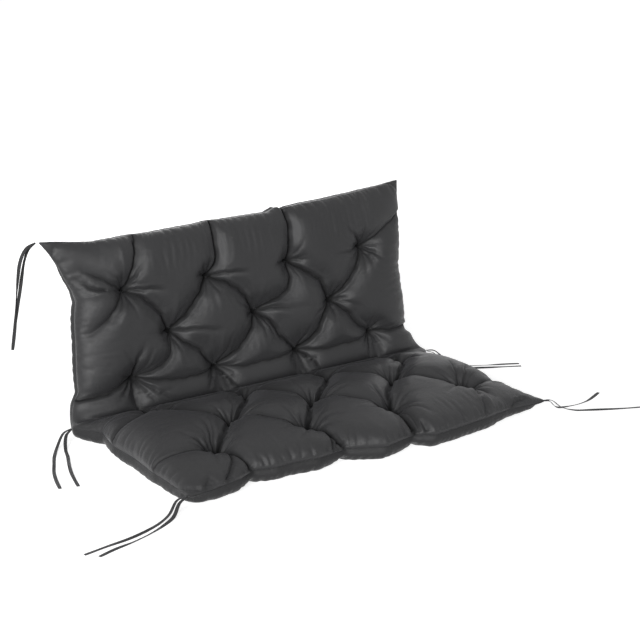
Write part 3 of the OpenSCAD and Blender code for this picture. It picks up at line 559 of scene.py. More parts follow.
def padSheet(pad, face, evenX, evenS):
    # Cover of one side of a pad: x, s and height of its smooth form, and of its tufted form
    p, last, half = pads[pad], size["lastTuft"], size["halfWidth"]
    ex, es = np.meshgrid(evenX, evenS)
    side = np.clip((np.abs(ex) - last) / (half - last), 0, 1)
    end = np.clip((es - p["rows"][2]) / (p["length"] - p["rows"][2]), 0, 1)
    seam = np.where(ex < 0, outlineAt(pad + "Left", es), outlineAt(pad + "Right", es))
    plain = np.minimum(seam, outline["plain"])
    x = np.where(side > 0, np.sign(ex) * (last + side * (plain - last) + side ** 2 * (seam - plain)), ex)
    far = outlineAt("seatFront" if pad == "seat" else "backTop", np.clip(x, -650, 650))
    s = np.where(end > 0, p["rows"][2] + end * (far - p["rows"][2]), es)
    roundness = p["rearRoundness"]
    if face:
        toSide = (ex > 0) * side ** 2 / (side ** 2 + end ** 2 + 1e-6)
        roundness = p["faceRoundness"] + (p["rightRoundness"] - p["faceRoundness"]) * toSide
    t = np.minimum(1, (side ** 5 + end ** 5) ** (1 / 5))
    thin = np.where(ex < 0, *[share * (side * end) ** power for share, power in p["taper"]])
    smooth = crownAt(pad, es, face) * roundEdge(t, roundness) * (1 - thin)
    if face:
        for dx, ds, reach, share in p["dents"]:
            smooth = smooth * (1 - share * np.exp(-((ex - dx) ** 2 + (es - ds) ** 2) / reach ** 2))
    return x, s, smooth, smooth * puffLeft(pad, x, s, face), t


# The cover between the pads: the inner strip in the crease, and the outer one round the corner
strips = {
    "leave": (1, 0.25), "arrive": (0.28, 0.96),     # way and pull of the inner strip at the seat and at the back
    "pinch": 0.6, "pinchReach": 42, "crease": 8,    # how full it is, and how it is drawn in at the fold's tufts
    "corner": 14, "cornerRound": 2.2, "floorTo": math.radians(70),
    "face": {"height": 60, "roundness": 2.4, "length": 50}, "rear": {"height": 38, "roundness": 3, "length": 150},
}


def seamRadius(share):
    return size["hingeZ"] - size["seamHeight"] + (size["backOffset"] - size["hingeZ"] + size["seamHeight"]) * share


def foldWall(seatHeight, backHeight, u):
    # Curve from the seat's face to the back's, seen from the side, measured from the hinge
    top = math.pi / 2 - size["lean"]
    reach = seamRadius(1) - size["halfSeam"] - backHeight
    start = (0.0, -(seamRadius(0) - size["halfSeam"] - seatHeight))
    end = (reach * math.sin(top), -reach * math.cos(top))
    pull = np.hypot(end[0] - start[0], end[1] - start[1])
    return [a * (2 * u ** 3 - 3 * u ** 2 + 1) + b * (3 * u ** 2 - 2 * u ** 3)
            + pull * leave * (u ** 3 - 2 * u ** 2 + u) + pull * arrive * (u ** 3 - u ** 2)
            for a, b, leave, arrive in zip(start, end, strips["leave"], strips["arrive"])]


def foldRows(face, seatEnd, backEnd, side, shares):
    # Rows of the cover between the pads, round the hinge axis
    rows = []
    ends = np.min([np.abs(seatEnd[0] - e) for e in size["foldTufts"]], axis=0)
    pinch = 1 - strips["pinch"] * np.exp(-(ends / strips["pinchReach"]) ** 2)
    sign = 1 if face else -1
    for share in shares:
        angle = share * (math.pi / 2 - size["lean"])
        x = seatEnd[0] * (1 - share) + backEnd[0] * share
        bulge = 0 if face else strips["corner"] * math.sin(math.pi * share)
        height = seatEnd[1] * (1 - share) + backEnd[1] * share + bulge * roundEdge(side, strips["cornerRound"])
        radius = seamRadius(share) - sign * (size["halfSeam"] + height)
        if not face and angle < strips["floorTo"]:
            radius = np.minimum(radius, (size["hingeZ"] - size["clear"]) / math.cos(angle))
        y, z = radius * math.sin(angle), -radius * math.cos(angle)
        if face:
            # Away from the ends the strip leaves the seat level and turns up into the back, a little full
            wallY, wallZ = foldWall(seatEnd[1], backEnd[1], share)
            inner = 1 - side ** 3
            y = y * (1 - inner) + (wallY - strips["crease"] * pinch * math.sin(math.pi * share) ** 2) * inner
            z = z * (1 - inner) + wallZ * inner
        rows.append(np.stack([x + size["shift"], size["hingeY"] + y, size["hingeZ"] + z], -1))
    return rows


def coverSheet(face, step):
    # One sheet from the seat's front seam over the fold to the back's top seam, with its smooth
    # form, nearness to the seam, and each point's pad coordinates (s is negative in the fold)
    last, half, strip = size["lastTuft"], size["halfWidth"], strips["face" if face else "rear"]
    edge = last + stripShares(half - last, strip["height"], strip["roundness"], step) * (half - last)
    inner = np.linspace(-last, last, round(2 * last / step) + 1)
    evenX = np.concatenate([-edge[::-1], inner[1:-1], edge])
    made, sign, low = {}, 1 if face else -1, size["halfSeam"]
    for pad, p in pads.items():
        width = p["length"] - p["rows"][2]
        end = p["rows"][2] + width * stripShares(width, p["crown"] if face else p["rearCrown"],
                                                 p["faceRoundness"] if face else p["rearRoundness"], step)
        evenS = np.concatenate([np.linspace(0, p["rows"][2], round(p["rows"][2] / step) + 1), end[1:]])
        x, s, full, puffed, t = padSheet(pad, face, evenX, evenS)
        made[pad] = {"x": x, "s": s, "t": t, "smooth": places[pad](x, s, sign * (low + full)),
                     "tufted": places[pad](x, s, sign * (low + puffed)), "ends": (x[0], puffed[0], full[0])}
    side = np.clip((np.abs(evenX) - last) / (half - last), 0, 1)
    shares = np.linspace(0, 1, max(4, round(strip["length"] / step)) + 1)[1:-1]
    seat, back = made["seat"], made["back"]
    a, b = seat["ends"], back["ends"]
    foldTufted = foldRows(face, (a[0], a[1]), (b[0], b[1]), side, shares)
    foldSmooth = foldRows(face, (a[0], a[2]), (b[0], b[2]), side, shares)
    arc = np.array([-size["innerArc"] * f for f in shares])[:, None] * np.ones(len(evenX))
    sheet = {
        "tufted": np.concatenate([seat["tufted"][::-1], foldTufted, back["tufted"]]),
        "smooth": np.concatenate([seat["smooth"][::-1], foldSmooth, back["smooth"]]),
        "edge": np.concatenate([seat["t"][::-1], np.tile(side, (len(shares), 1)), back["t"]]),
        "x": np.concatenate([seat["x"][::-1], np.tile(a[0], (len(shares), 1)), back["x"]]),
        "s": np.concatenate([seat["s"][::-1], arc, back["s"]]),
        "seatRows": len(seat["s"]), "foldRows": len(shares),
    }
    for form in ("tufted", "smooth"):
        sheet[form][..., 2] = np.maximum(sheet[form][..., 2], size["clear"])
    return sheet


def gridFaces(n, m, flip):
    i = np.arange(n - 1)[:, None] * m + np.arange(m - 1)
    faces = np.stack([i, i + 1, i + m + 1, i + m], -1).reshape(-1, 4)
    return faces[:, ::-1] if flip else faces


def gridNormals(p, flip):
    n = np.cross(np.gradient(p, axis=1), np.gradient(p, axis=0))
    n /= np.linalg.norm(n, axis=-1, keepdims=True) + 1e-9
    return -n if flip else n


def ironed(grid, turns):
    # Each point drawn towards its neighbours, with the border left where it is
    grid = grid.copy()
    for _ in range(turns):
        around = (grid[:-2, 1:-1] + grid[2:, 1:-1] + grid[1:-1, :-2] + grid[1:-1, 2:]) / 4
        grid[1:-1, 1:-1] = (grid[1:-1, 1:-1] + around) / 2
    return grid


def finer(grid):
    # Twice as many lines each way, on smooth curves through the grid's points
    for axis in (0, 1):
        g = np.moveaxis(grid, axis, 0)
        padded = np.concatenate([2 * g[:1] - g[1:2], g, 2 * g[-1:] - g[-2:-1]])
        middle = (-padded[:-3] + 9 * padded[1:-2] + 9 * padded[2:-1] - padded[3:]) / 16
        out = np.empty((2 * len(g) - 1, *g.shape[1:]))
        out[::2], out[1::2] = g, middle
        grid = np.moveaxis(out, 0, axis)
    return grid


print("stage: cloth")
cloth = {
    "step": 5.5, "rearStep": 6.875, "rounds": 260, "seed": 11,
    "ease": 1.065, "seamEase": 1.0,                     # how much larger it is cut than its form
    "press": 0.16, "pull": 0.012, "creasePull": 0.16,   # pressure of the filling, and how the form holds the cloth
    "squeeze": 0.6, "bend": 0.2, "shear": 0.12,
    "cap": 22, "calm": 3, "foldCalm": 9,                # furthest that it moves, and how often it is ironed after
    "gap": 0.6, "foldGap": 0.4,                         # room between the two covers, and in the fold's crease
    "shake": 0.25, "bareCrease": (1.25, 45),            # first unevenness, and no spare cloth in the crease
    "hollow": 2.2, "kept": 0.8, "least": 1.5, "seamFree": 0.03,     # limits of the lines pressed in afterwards
}


def tighten(p, weight, a, b, length, stiffness, squeeze):
    # Moves each pair of points to its length; squeeze is the share kept when it is pressed together
    gap = p[b] - p[a]
    far = np.sqrt((gap ** 2).sum(-1)) + 1e-9
    off = (far - length) / far
    off *= np.where(off < 0, stiffness * squeeze, stiffness) / (weight[a] + weight[b] + 1e-9)
    gap *= off[..., None]
    p[a] += gap * weight[a][..., None]
    p[b] -= gap * weight[b][..., None]


def clothPairs(balloon, ease):
    # Threads both ways, slanting ones for shear and long ones for bending, in sets that share no point
    n, m = ease.shape
    full, pairs = slice(None), []
    squeeze, shear, bend = cloth["squeeze"], cloth["shear"], cloth["bend"]
    for di, dj, stiffness, kept in ((0, 1, 1.0, squeeze), (1, 0, 1.0, squeeze), (1, 1, shear, 1), (1, -1, shear, 1),
                                    (0, 2, bend, 1), (2, 0, bend, 1)):
        for parity in range(2):
            upper, lower = slice(parity, n - 1, 2), slice(parity + 1, n, 2)
            if di == 2:
                first = np.array([i for i in range(n - 2) if (i // 2) % 2 == parity])
                a, b = (first, full), (first + 2, full)
            elif dj == 2:
                first = np.array([j for j in range(m - 2) if (j // 2) % 2 == parity])
                a, b = (full, first), (full, first + 2)
            elif di == 0:
                a, b = (full, slice(parity, m - 1, 2)), (full, slice(parity + 1, m, 2))
            elif dj == 0:
                a, b = (upper, full), (lower, full)
            else:
                left, right = slice(0, m - 1), slice(1, m)
                a, b = ((upper, left), (lower, right)) if dj == 1 else ((upper, right), (lower, left))
            length = np.linalg.norm(balloon[b] - balloon[a], axis=-1) * (ease[a] + ease[b]) / 2
            pairs.append((a, b, length, stiffness, kept))
    return pairs


def relaxCloth(sheet, held, pull, flip, limits):
    # A sheet of cloth, cut larger than its form, blown up against its tufts and seams
    c, target = cloth, sheet["tufted"]
    rng = np.random.default_rng(c["seed"])
    p = target + rng.normal(0, c["shake"], target.shape) * (~held)[..., None]
    weight = np.where(held, 0.0, 1.0)
    # No spare cloth near the seam, nor in the crease between the pads
    most, reach = c["bareCrease"]
    bare = np.maximum(sheet["edge"] ** 6, np.clip(most - sheet["s"] / reach, 0, 1))
    pairs = clothPairs(sheet["smooth"], c["ease"] + (c["seamEase"] - c["ease"]) * bare)
    for _ in range(c["rounds"]):
        normal = gridNormals(p, flip)
        away = ((target - p) * normal).sum(-1, keepdims=True)
        p += normal * (c["press"] + pull[..., None] * away) * weight[..., None]
        for pair in pairs:
            tighten(p, weight, *pair)
        limits(p)
        moved = p - target
        far = np.sqrt((moved ** 2).sum(-1, keepdims=True)) + 1e-9
        p = target + moved * np.minimum(1, c["cap"] / far)
    # The finest ripples are ironed out
    moved = p - target
    for _ in range(c["calm"]):
        moved += (ironed(moved, 1) - moved) * weight[..., None]
    return target + moved


def bisectorSide(p):
    # How far a point is on the back's side of the plane midway between the pads, in the crease of the fold
    angle = (math.pi / 2 - size["lean"]) / 2
    normal = np.array([0, math.cos(angle), math.sin(angle)])
    corner = np.array([0, size["hingeY"], size["hingeZ"]])
    return (p - corner) @ normal, normal


def clothLimits(face, seat, back):
    # The pads keep to their own sides of the fold, and the two covers to their own sides of the seam
    seam, gap, clear = size["seamHeight"], cloth["gap"], cloth["foldGap"]

    def limits(p):
        np.maximum(p[..., 2], size["clear"], out=p[..., 2])
        if face:
            far, normal = bisectorSide(p[seat])
            p[seat] -= np.maximum(0, far + clear)[..., None] * normal
            far, normal = bisectorSide(p[back])
            p[back] += np.maximum(0, clear - far)[..., None] * normal
            np.maximum(p[seat][..., 2], seam + gap, out=p[seat][..., 2])
        else:
            np.minimum(p[seat][..., 2], seam - gap, out=p[seat][..., 2])

    return limits


def heldPoints(sheet, parts):
    # The cloth is held along its seams and at its tufts
    held = np.zeros(sheet["edge"].shape, bool)
    held[0] = held[-1] = held[:, 0] = held[:, -1] = True
    for pad, rows in parts.items():
        for tx, ts in tufts[pad]:
            far = np.hypot(sheet["x"][rows] - tx, sheet["s"][rows] - ts)
            i, j = np.unravel_index(far.argmin(), far.shape)
            held[rows.start + i, j] = True
    return held


def reliefOf(x, s, face, seatEnd, backStart):
    # Folds that come down from the back's lowest tufts run on through the crease between the pads
    rng = np.random.default_rng(cloth["seed"] + (1 if face else 2))
    inFold, arc = backStart - seatEnd, size["innerArc"]
    fromBack = s[seatEnd:].copy()
    fromBack[:inFold] = -arc - fromBack[:inFold]
    onSeat = fineRelief("seat", x[:backStart], s[:backStart], face, rng)
    onBack = fineRelief("back", x[seatEnd:], fromBack, face, rng)
    fade = np.clip(-s[seatEnd:backStart] / arc * 1.7, 0, 1)
    # Depth and painted shade of both pads, blended through the fold
    return [np.concatenate([u[:seatEnd], u[seatEnd:] * (1 - fade) + v[:inFold] * fade, v[inFold:]])
            for u, v in zip(onSeat, onBack)]


def fullness(shaped, s, face, seatEnd, backStart):
    # How far the cloth stands out from the seam's level
    sign = 1 if face else -1
    y, z = shaped[..., 1] - size["hingeY"], shaped[..., 2] - size["hingeZ"]
    off = y * math.cos(size["lean"]) - z * math.sin(size["lean"])
    return np.concatenate([
        sign * (shaped[:seatEnd, :, 2] - size["seamHeight"]),
        sign * (seamRadius(-s[seatEnd:backStart] / size["innerArc"]) - np.hypot(y, z)[seatEnd:backStart]),
        sign * (size["backOffset"] - off[backStart:])])


def shapeCover(face, step):
    c, sheet, flip = cloth, coverSheet(face, step), not face
    seatRows, foldEnd = sheet["seatRows"], sheet["seatRows"] + sheet["foldRows"]
    parts = {"seat": slice(0, seatRows), "back": slice(foldEnd, None)}
    # Where the form has a valley the cloth is drawn to it more, and near the seam less
    hollow = np.linalg.norm(sheet["smooth"] - sheet["tufted"], axis=-1)
    hollow = np.clip(hollow / (hollow.max() + 1e-9) * c["hollow"], 0, 1)
    pull = c["pull"] + (c["creasePull"] - c["pull"]) * hollow ** 2
    shaped = sheet["tufted"]
    shaped = relaxCloth(sheet, heldPoints(sheet, parts), pull, flip, clothLimits(face, *parts.values()))
    # The sharp lines come after the cloth has settled, on a finer grid
    shaped, x, s = finer(shaped), finer(sheet["x"]), finer(sheet["s"])
    edge = np.clip(finer(sheet["edge"]), 0, 1)
    seatEnd, backStart = 2 * seatRows - 1, 2 * foldEnd
    bend = slice(seatEnd - 4, backStart + 8)
    shaped[bend] = ironed(shaped[bend], c["foldCalm"])
    # line holds the painted shade of the creases and the tufts
    depth, line = reliefOf(x, s, face, seatEnd, backStart)
    # No line is pressed deeper than the pad is full there
    full = fullness(shaped, s, face, seatEnd, backStart)
    depth = np.minimum(depth, np.maximum(0, c["kept"] * (full - c["least"])))
    depth *= np.clip((1 - edge) / c["seamFree"], 0, 1)
    depth[bend] = ironed(depth[bend], c["foldCalm"] // 3)
    shaped = shaped - gridNormals(shaped, flip) * depth[..., None]
    shaped[..., 2] = np.maximum(shaped[..., 2], size["clear"])
    return shaped, line, (seatEnd + backStart) // 2


def addCover(name, grid, line, step, flip, first):
    n, m = grid.shape[:2]
    cut = np.stack(np.meshgrid(np.arange(m) * step, (first + np.arange(n)) * step), -1).reshape(-1, 2)
    piece = addMesh(name, grid.reshape(-1, 3), gridFaces(n, m, flip), cut)
    # The painted shade goes on each point as the attribute hollow, which turns the cloth towards black
    hollow = piece.data.attributes.new("hollow", "FLOAT", "POINT")
    hollow.data.foreach_set("value", np.clip(line, 0, 1).astype(np.float32).ravel())
    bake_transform(piece)
    return piece


def makeCovers(names, face, step):
    # The sheet is parted along the middle of the fold, into the seat's cover and the back's
    # line carries the painted shade of the creases and the tufts
    grid, line, split = shapeCover(face, step)
    first = addCover(names[0], grid[:split + 1], line[:split + 1], step / 2, not face, 0)
    second = addCover(names[1], grid[split:], line[split:], step / 2, not face, split)
    return grid, split, first, second


faceGrid, faceSplit, seatFace, backFace = makeCovers(("seatFaceCover", "backFaceCover"), True, cloth["step"])
rearGrid, rearSplit, underside, backRear = makeCovers(("undersideCover", "backRearCover"), False, cloth["rearStep"])
print("covers:", [(o.name, len(o.data.polygons) * 2) for o in (seatFace, backFace, underside, backRear)])
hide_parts("seat_face_panel", "seat_filling", "fold_inner_strip", "fold_filling")
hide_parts("back_face_panel", "back_filling")
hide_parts("seat_underside_panel", "fold_outer_strip")
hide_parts("back_rear_panel")

# ---- the sewn edge all the way round, and the threads of the tufts
print("stage: seams and threads")
seams = {"radius": 1.3, "gather": 0.4, "sides": 8, "step": 5, "threadStep": 1.4, "clear": 0.3}


def sweep(path, radius, sides, closed):
    # A round strand along a path, in millimetres
    along = unit(np.roll(path, -1, 0) - np.roll(path, 1, 0)) if closed else unit(np.gradient(path, axis=0))
    across = unit(np.cross(along, (0.1, 0.2, 1.0)))
    up = np.cross(across, along)
    angle = np.arange(sides) * 2 * math.pi / sides
    radius = np.broadcast_to(radius, len(path))[:, None, None]
    ring = across[:, None] * np.cos(angle)[None, :, None] + up[:, None] * np.sin(angle)[None, :, None]
    return (path[:, None] + ring * radius).reshape(-1, 3)


def makeSeam():
    # Right round the cushion, along the border of the face cover
    g, sides = faceGrid, seams["sides"]
    line = np.concatenate([g[0, :-1], g[:-1, -1], g[-1, :0:-1], g[:0:-1, 0], g[:1, 0]])
    run = runAlong(line)
    count = round(run[-1] / seams["step"])
    at = np.linspace(0, run[-1], count, endpoint=False)
    path = np.stack([np.interp(at, run, line[:, k]) for k in range(3)], 1)
    # Stitching draws the edge in every few millimetres, and it wanders a little
    radius = seams["radius"] * (1 + 0.16 * np.sin(at * 0.9) + 0.12 * np.sin(at * 0.23 + 1.3))
    path[:, 2] += seams["gather"] * np.sin(at * 0.11) * np.sin(at * 0.037 + 0.8)
    points = sweep(path, radius, sides, True)
    points[:, 2] = np.maximum(points[:, 2], seams["clear"])
    cut = np.stack([np.tile(np.arange(sides) * seams["threadStep"], count), np.repeat(at, sides)], -1)
    piece = addMesh("sewnEdge", points, sweptFaces(count, sides, True), cut)
    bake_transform(piece)
    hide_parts("seat_edge_seam", "back_edge_seam", "fold_end_seams")
    return piece


sewnEdge = makeSeam()

# Each tuft: a star of stitches in the hollow on both sides, and the thread between them
threads = {
    "radius": 0.65, "tail": 0.8, "sides": 6, "arms": 3, "arm": 5.5, "turn": 0.4, "bow": 1.4, "sink": 0.6,
    "knot": 2.4, "tailLength": 6, "lift": 0.7, "probe": 18.0, "clear": 0.3,
}
tuftRows = {
    "seat": {"Rear": range(4), "Middle": range(4, 7), "Front": range(7, 11)},
    "back": {"Low": range(4), "Middle": range(4, 7), "Top": range(7, 11)},
}


def nearestPoint(grid, split, pad, place):
    # Where a cover ended up at a tuft
    flat = (grid[:split] if pad == "seat" else grid[split:]).reshape(-1, 3)
    return flat[np.linalg.norm(flat - place, axis=1).argmin()]


def makeThreads(name, pad, row, node):
    place, t, points, faces = places[pad], threads, [], []
    rng = np.random.default_rng(len(name))

    def strand(path, radius):
        before = sum(len(p) for p in points)
        faces.extend([tuple(i + before for i in f) for f in sweptFaces(len(path), t["sides"])])
        points.append(sweep(np.array(path), radius, t["sides"], False))

    for k in row:
        ends = []
        for cover, split, sign in ((faceGrid, faceSplit, 1), (rearGrid, rearSplit, -1)):
            spot = nearestPoint(cover, split, pad, place(*tufts[pad][k], sign * t["probe"]))
            out = unit(place(0.0, 0.0, float(sign)) - place(0.0, 0.0, 0.0))
            flatX = np.array([1.0, 0, 0])
            flatY = np.cross(out, flatX)
            top = spot + out * t["lift"]
            ends.append(spot)
            for arm in range(t["arms"]):
                angle = (arm + rng.uniform(-0.2, 0.2)) * math.pi / t["arms"] + t["turn"]
                way = flatX * math.cos(angle) + flatY * math.sin(angle)
                reach = t["arm"] * rng.uniform(0.75, 1.1)
                strand([top + way * reach * u + out * (t["bow"] * (1 - u * u) - t["sink"])
                        for u in np.linspace(-1, 1, 9)], t["radius"])
            tail = unit(flatX * rng.uniform(-1, 1) + flatY * rng.uniform(-1, 1))
            strand([top + out * (1.2 * math.sin(3.1 * u)) + tail * (t["knot"] + t["tailLength"] * u)
                    for u in np.linspace(0, 1, 6)], t["radius"] * t["tail"])
        strand([ends[0] * (1 - u) + ends[1] * u for u in np.linspace(0.02, 0.98, 6)], t["radius"])
    allPoints = np.concatenate(points)
    allPoints[:, 2] = np.maximum(allPoints[:, 2], t["clear"])
    piece = addMesh(name, allPoints, faces, allPoints[:, :2])
    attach(piece, pad)
    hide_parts(node)
    return piece


threadPieces = [makeThreads(pad + label + "Threads", pad, row, pad + "_tufts_" + label.lower())
                for pad, rows in tuftRows.items() for label, row in rows.items()]

print("stage: materials")


def group(name, inputs, outputs):
    # A node group with named sockets: its tree, what comes in and what goes out
    tree = bpy.data.node_groups.new(name, "ShaderNodeTree")
    for label, kind, value in inputs:
        socket = tree.interface.new_socket(name=label, in_out="INPUT", socket_type="NodeSocket" + kind)
        if value is not None:
            socket.default_value = value
    for label, kind in outputs:
        tree.interface.new_socket(name=label, in_out="OUTPUT", socket_type="NodeSocket" + kind)
    return tree, tree.nodes.new("NodeGroupInput").outputs, tree.nodes.new("NodeGroupOutput").inputs


def feed(tree, socket, value):
    if isinstance(value, bpy.types.NodeSocket):
        tree.links.new(value, socket)
    else:
        socket.default_value = value


def math2(tree, operation, a, b=0.0, clamp=False):
    node = tree.nodes.new("ShaderNodeMath")
    node.operation, node.use_clamp = operation, clamp
    feed(tree, node.inputs[0], a)
    feed(tree, node.inputs[1], b)
    return node.outputs[0]


def noise(tree, vector, scale, detail=3.0, roughness=0.5, distortion=0.0):
    node = tree.nodes.new("ShaderNodeTexNoise")
    tree.links.new(vector, node.inputs["Vector"])
    for name, value in (("Scale", scale), ("Detail", detail), ("Roughness", roughness), ("Distortion", distortion)):
        feed(tree, node.inputs[name], value)
    return node.outputs["Fac"]


def remap(tree, value, low, high, newLow=0.0, newHigh=1.0):
    node = tree.nodes.new("ShaderNodeMapRange")
    for name, v in (("Value", value), ("From Min", low), ("From Max", high), ("To Min", newLow), ("To Max", newHigh)):
        feed(tree, node.inputs[name], v)
    return node.outputs["Result"]


def mixColour(tree, factor, a, b, blend="MIX"):
    node = tree.nodes.new("ShaderNodeMix")
    node.data_type, node.blend_type = "RGBA", blend
    feed(tree, node.inputs[0], factor)
    feed(tree, node.inputs[6], a)
    feed(tree, node.inputs[7], b)
    return node.outputs[2]


def scaled(tree, vector, scale):
    node = tree.nodes.new("ShaderNodeVectorMath")
    node.operation = "SCALE"
    tree.links.new(vector, node.inputs[0])
    feed(tree, node.inputs["Scale"], scale)
    return node.outputs[0]


def makeWeaveGroup():
    # Plain weave: crossed threads that pass over and under each other
    tree, i, o = group("plainWeave", [("Cloth", "Vector", None), ("Threads per metre", "Float", 1400.0),
                                      ("Slubs", "Float", 0.25)], [("Height", "Float")])
    split = tree.nodes.new("ShaderNodeSeparateXYZ")
    tree.links.new(scaled(tree, i["Cloth"], i["Threads per metre"]), split.inputs[0])
    waves = []
    for axis in (0, 1):
        turn = math2(tree, "MULTIPLY", split.outputs[axis], math.pi)
        waves.append(math2(tree, "ABSOLUTE", math2(tree, "SINE", turn)))
    column = math2(tree, "FLOOR", split.outputs[0])
    row = math2(tree, "FLOOR", split.outputs[1])
    over = math2(tree, "MODULO", math2(tree, "ABSOLUTE", math2(tree, "ADD", column, row)), 2.0)
    under = math2(tree, "SUBTRACT", 1.0, over)
    height = math2(tree, "ADD", math2(tree, "MULTIPLY", waves[0], over), math2(tree, "MULTIPLY", waves[1], under))
    slub = math2(tree, "MULTIPLY", noise(tree, i["Cloth"], 900.0, 2.0), i["Slubs"])
    tree.links.new(math2(tree, "ADD", height, slub), o["Height"])
    return tree


def makeToneGroup():
    # Tone of the cloth: slow fading, fine mottling, lint, and painted shade that turns it towards black in the creases
    # and round the tufts
    tree, i, o = group("clothTone", [("Place", "Vector", None), ("Base", "Color", (0.03, 0.03, 0.03, 1)),
                                     ("Faded", "Color", (0.05, 0.05, 0.05, 1)), ("Hollow", "Float", 0.0),
                                     ("Roughness", "Float", 0.6)],
                       [("Color", "Color"), ("Roughness", "Float")])
    slow = remap(tree, noise(tree, i["Place"], 5.0, 2.0), 0.3, 0.7)
    fine = remap(tree, noise(tree, i["Place"], 420.0, 3.0, 0.7), 0.25, 0.75)
    share = math2(tree, "ADD", math2(tree, "MULTIPLY", slow, 0.45), math2(tree, "MULTIPLY", fine, 0.4))
    tone = mixColour(tree, share, i["Base"], i["Faded"])
    lint = remap(tree, noise(tree, i["Place"], 260.0, 1.0, 0.5, 2.0), 0.74, 0.80)
    tone = mixColour(tree, math2(tree, "MULTIPLY", lint, 0.25), tone, (0.16, 0.16, 0.155, 1))
    # Painted shade: towards black where the hollow attribute is set; the cloth is also rougher there
    tone = mixColour(tree, i["Hollow"], tone, (0.0, 0.0, 0.0, 1))
    tree.links.new(tone, o["Color"])
    rough = math2(tree, "ADD", i["Roughness"], math2(tree, "MULTIPLY", math2(tree, "SUBTRACT", slow, 0.5), 0.12))
    tree.links.new(math2(tree, "ADD", rough, math2(tree, "MULTIPLY", i["Hollow"], 0.64), clamp=True), o["Roughness"])
    return tree


def makeCrumpleGroup():
    # Slight unevenness of a filled cloth: lazy waves and small handling creases
    tree, i, o = group("crumple", [("Place", "Vector", None), ("Waves", "Float", 0.8), ("Creases", "Float", 0.12)],
                       [("Height", "Float")])
    waves = math2(tree, "MULTIPLY", noise(tree, i["Place"], 34.0, 3.0, 0.55), i["Waves"])
    fold = math2(tree, "ABSOLUTE", math2(tree, "SUBTRACT", noise(tree, i["Place"], 16.0, 2.0, 0.5, 1.4), 0.5))
    lines = math2(tree, "MULTIPLY", remap(tree, fold, 0.0, 0.035), i["Creases"])
    tree.links.new(math2(tree, "ADD", waves, lines), o["Height"])
    return tree


weaveGroup, toneGroup, crumpleGroup = makeWeaveGroup(), makeToneGroup(), makeCrumpleGroup()
clothFinishes = {
    "faceCloth": {"base": (0.023, 0.023, 0.0238), "faded": (0.032, 0.032, 0.0332), "roughness": 0.36, "shine": 0.6,
                  "sheen": 0.06, "sheenTint": (0.62, 0.62, 0.66),
                  "threads": 1250, "weave": 0.00010, "crumple": 0.0009},
    # The face's fabric with a darker base: painted shade for the underside and the back's rear (the sewn edge shares
    # this cloth)
    "shadedRearCloth": {"base": (0.017, 0.017, 0.0176), "faded": (0.025, 0.025, 0.026), "roughness": 0.44, "shine": 0.5,
                  "sheen": 0.06, "sheenTint": (0.6, 0.6, 0.62),
                  "threads": 1100, "weave": 0.00012, "crumple": 0.0020},
    "tapeCloth": {"base": (0.024, 0.024, 0.025), "faded": (0.042, 0.042, 0.043), "roughness": 0.7, "shine": 0.4,
                  "sheen": 0.2, "sheenTint": (0.6, 0.6, 0.62),
                  "threads": 1000, "weave": 0.00016, "crumple": 0.0},
    "thread": {"base": (0.018, 0.018, 0.019), "faded": (0.030, 0.030, 0.031), "roughness": 0.6, "shine": 0.4,
               "sheen": 0.15, "sheenTint": (0.6, 0.6, 0.62),
               "threads": 1800, "weave": 0.00008, "crumple": 0.0},
}


def placeGroup(tree, used, **values):
    node = tree.nodes.new("ShaderNodeGroup")
    node.node_tree = used
    for name, value in values.items():
        feed(tree, node.inputs[name.replace("_", " ")], value)
    return node


def makeCloth(name, f):
    material = bpy.data.materials.new(name)
    material.use_nodes = True
    tree = material.node_tree
    shader = tree.nodes["Principled BSDF"]
    place = tree.nodes.new("ShaderNodeTexCoord").outputs["Object"]
    cut = tree.nodes.new("ShaderNodeUVMap")
    cut.uv_map = "cut"
    # The hollow attribute holds the painted shade of the creases and the tufts
    hollow = tree.nodes.new("ShaderNodeAttribute")
    hollow.attribute_name = "hollow"
    tone = placeGroup(tree, toneGroup, Place=place, Base=(*f["base"], 1), Faded=(*f["faded"], 1),
                      Hollow=hollow.outputs["Fac"], Roughness=f["roughness"])
    weave = placeGroup(tree, weaveGroup, Cloth=cut.outputs[0], Threads_per_metre=f["threads"])
    bump = tree.nodes.new("ShaderNodeBump")
    bump.inputs["Distance"].default_value = f["weave"]
    tree.links.new(weave.outputs["Height"], bump.inputs["Height"])
    if f["crumple"]:
        crumple = placeGroup(tree, crumpleGroup, Place=place)
        lower = tree.nodes.new("ShaderNodeBump")
        lower.inputs["Distance"].default_value = f["crumple"]
        tree.links.new(crumple.outputs["Height"], lower.inputs["Height"])
        tree.links.new(lower.outputs[0], bump.inputs["Normal"])
    tree.links.new(tone.outputs["Color"], shader.inputs["Base Color"])
    tree.links.new(tone.outputs["Roughness"], shader.inputs["Roughness"])
    tree.links.new(bump.outputs[0], shader.inputs["Normal"])
    shader.inputs["Specular IOR Level"].default_value = f["shine"]
    shader.inputs["IOR"].default_value = 1.25
    shader.inputs["Sheen Weight"].default_value = f["sheen"]
    shader.inputs["Sheen Roughness"].default_value = 0.5
    shader.inputs["Sheen Tint"].default_value = (*f["sheenTint"], 1)
    return material


finishes = {name: makeCloth(name, f) for name, f in clothFinishes.items()}
for name, pieces in (("faceCloth", (seatFace, backFace)), ("shadedRearCloth", (underside, backRear, sewnEdge)),
                     ("tapeCloth", tiePieces), ("thread", threadPieces)):
    for piece in pieces:
        piece.data.materials.append(finishes[name])

print("stage: floor and light")
studio = {"floor": 40, "floorColour": (0.7, 0.7, 0.7), "lift": 0.74, "air": 0.08}


def seenRays(tree):
    # The camera, and what shiny and clear things show, see the pale background
    path = tree.nodes.new("ShaderNodeLightPath")
    seen = math2(tree, "MAXIMUM", path.outputs["Is Camera Ray"], path.outputs["Is Glossy Ray"])
    return math2(tree, "MAXIMUM", seen, path.outputs["Is Transmission Ray"])


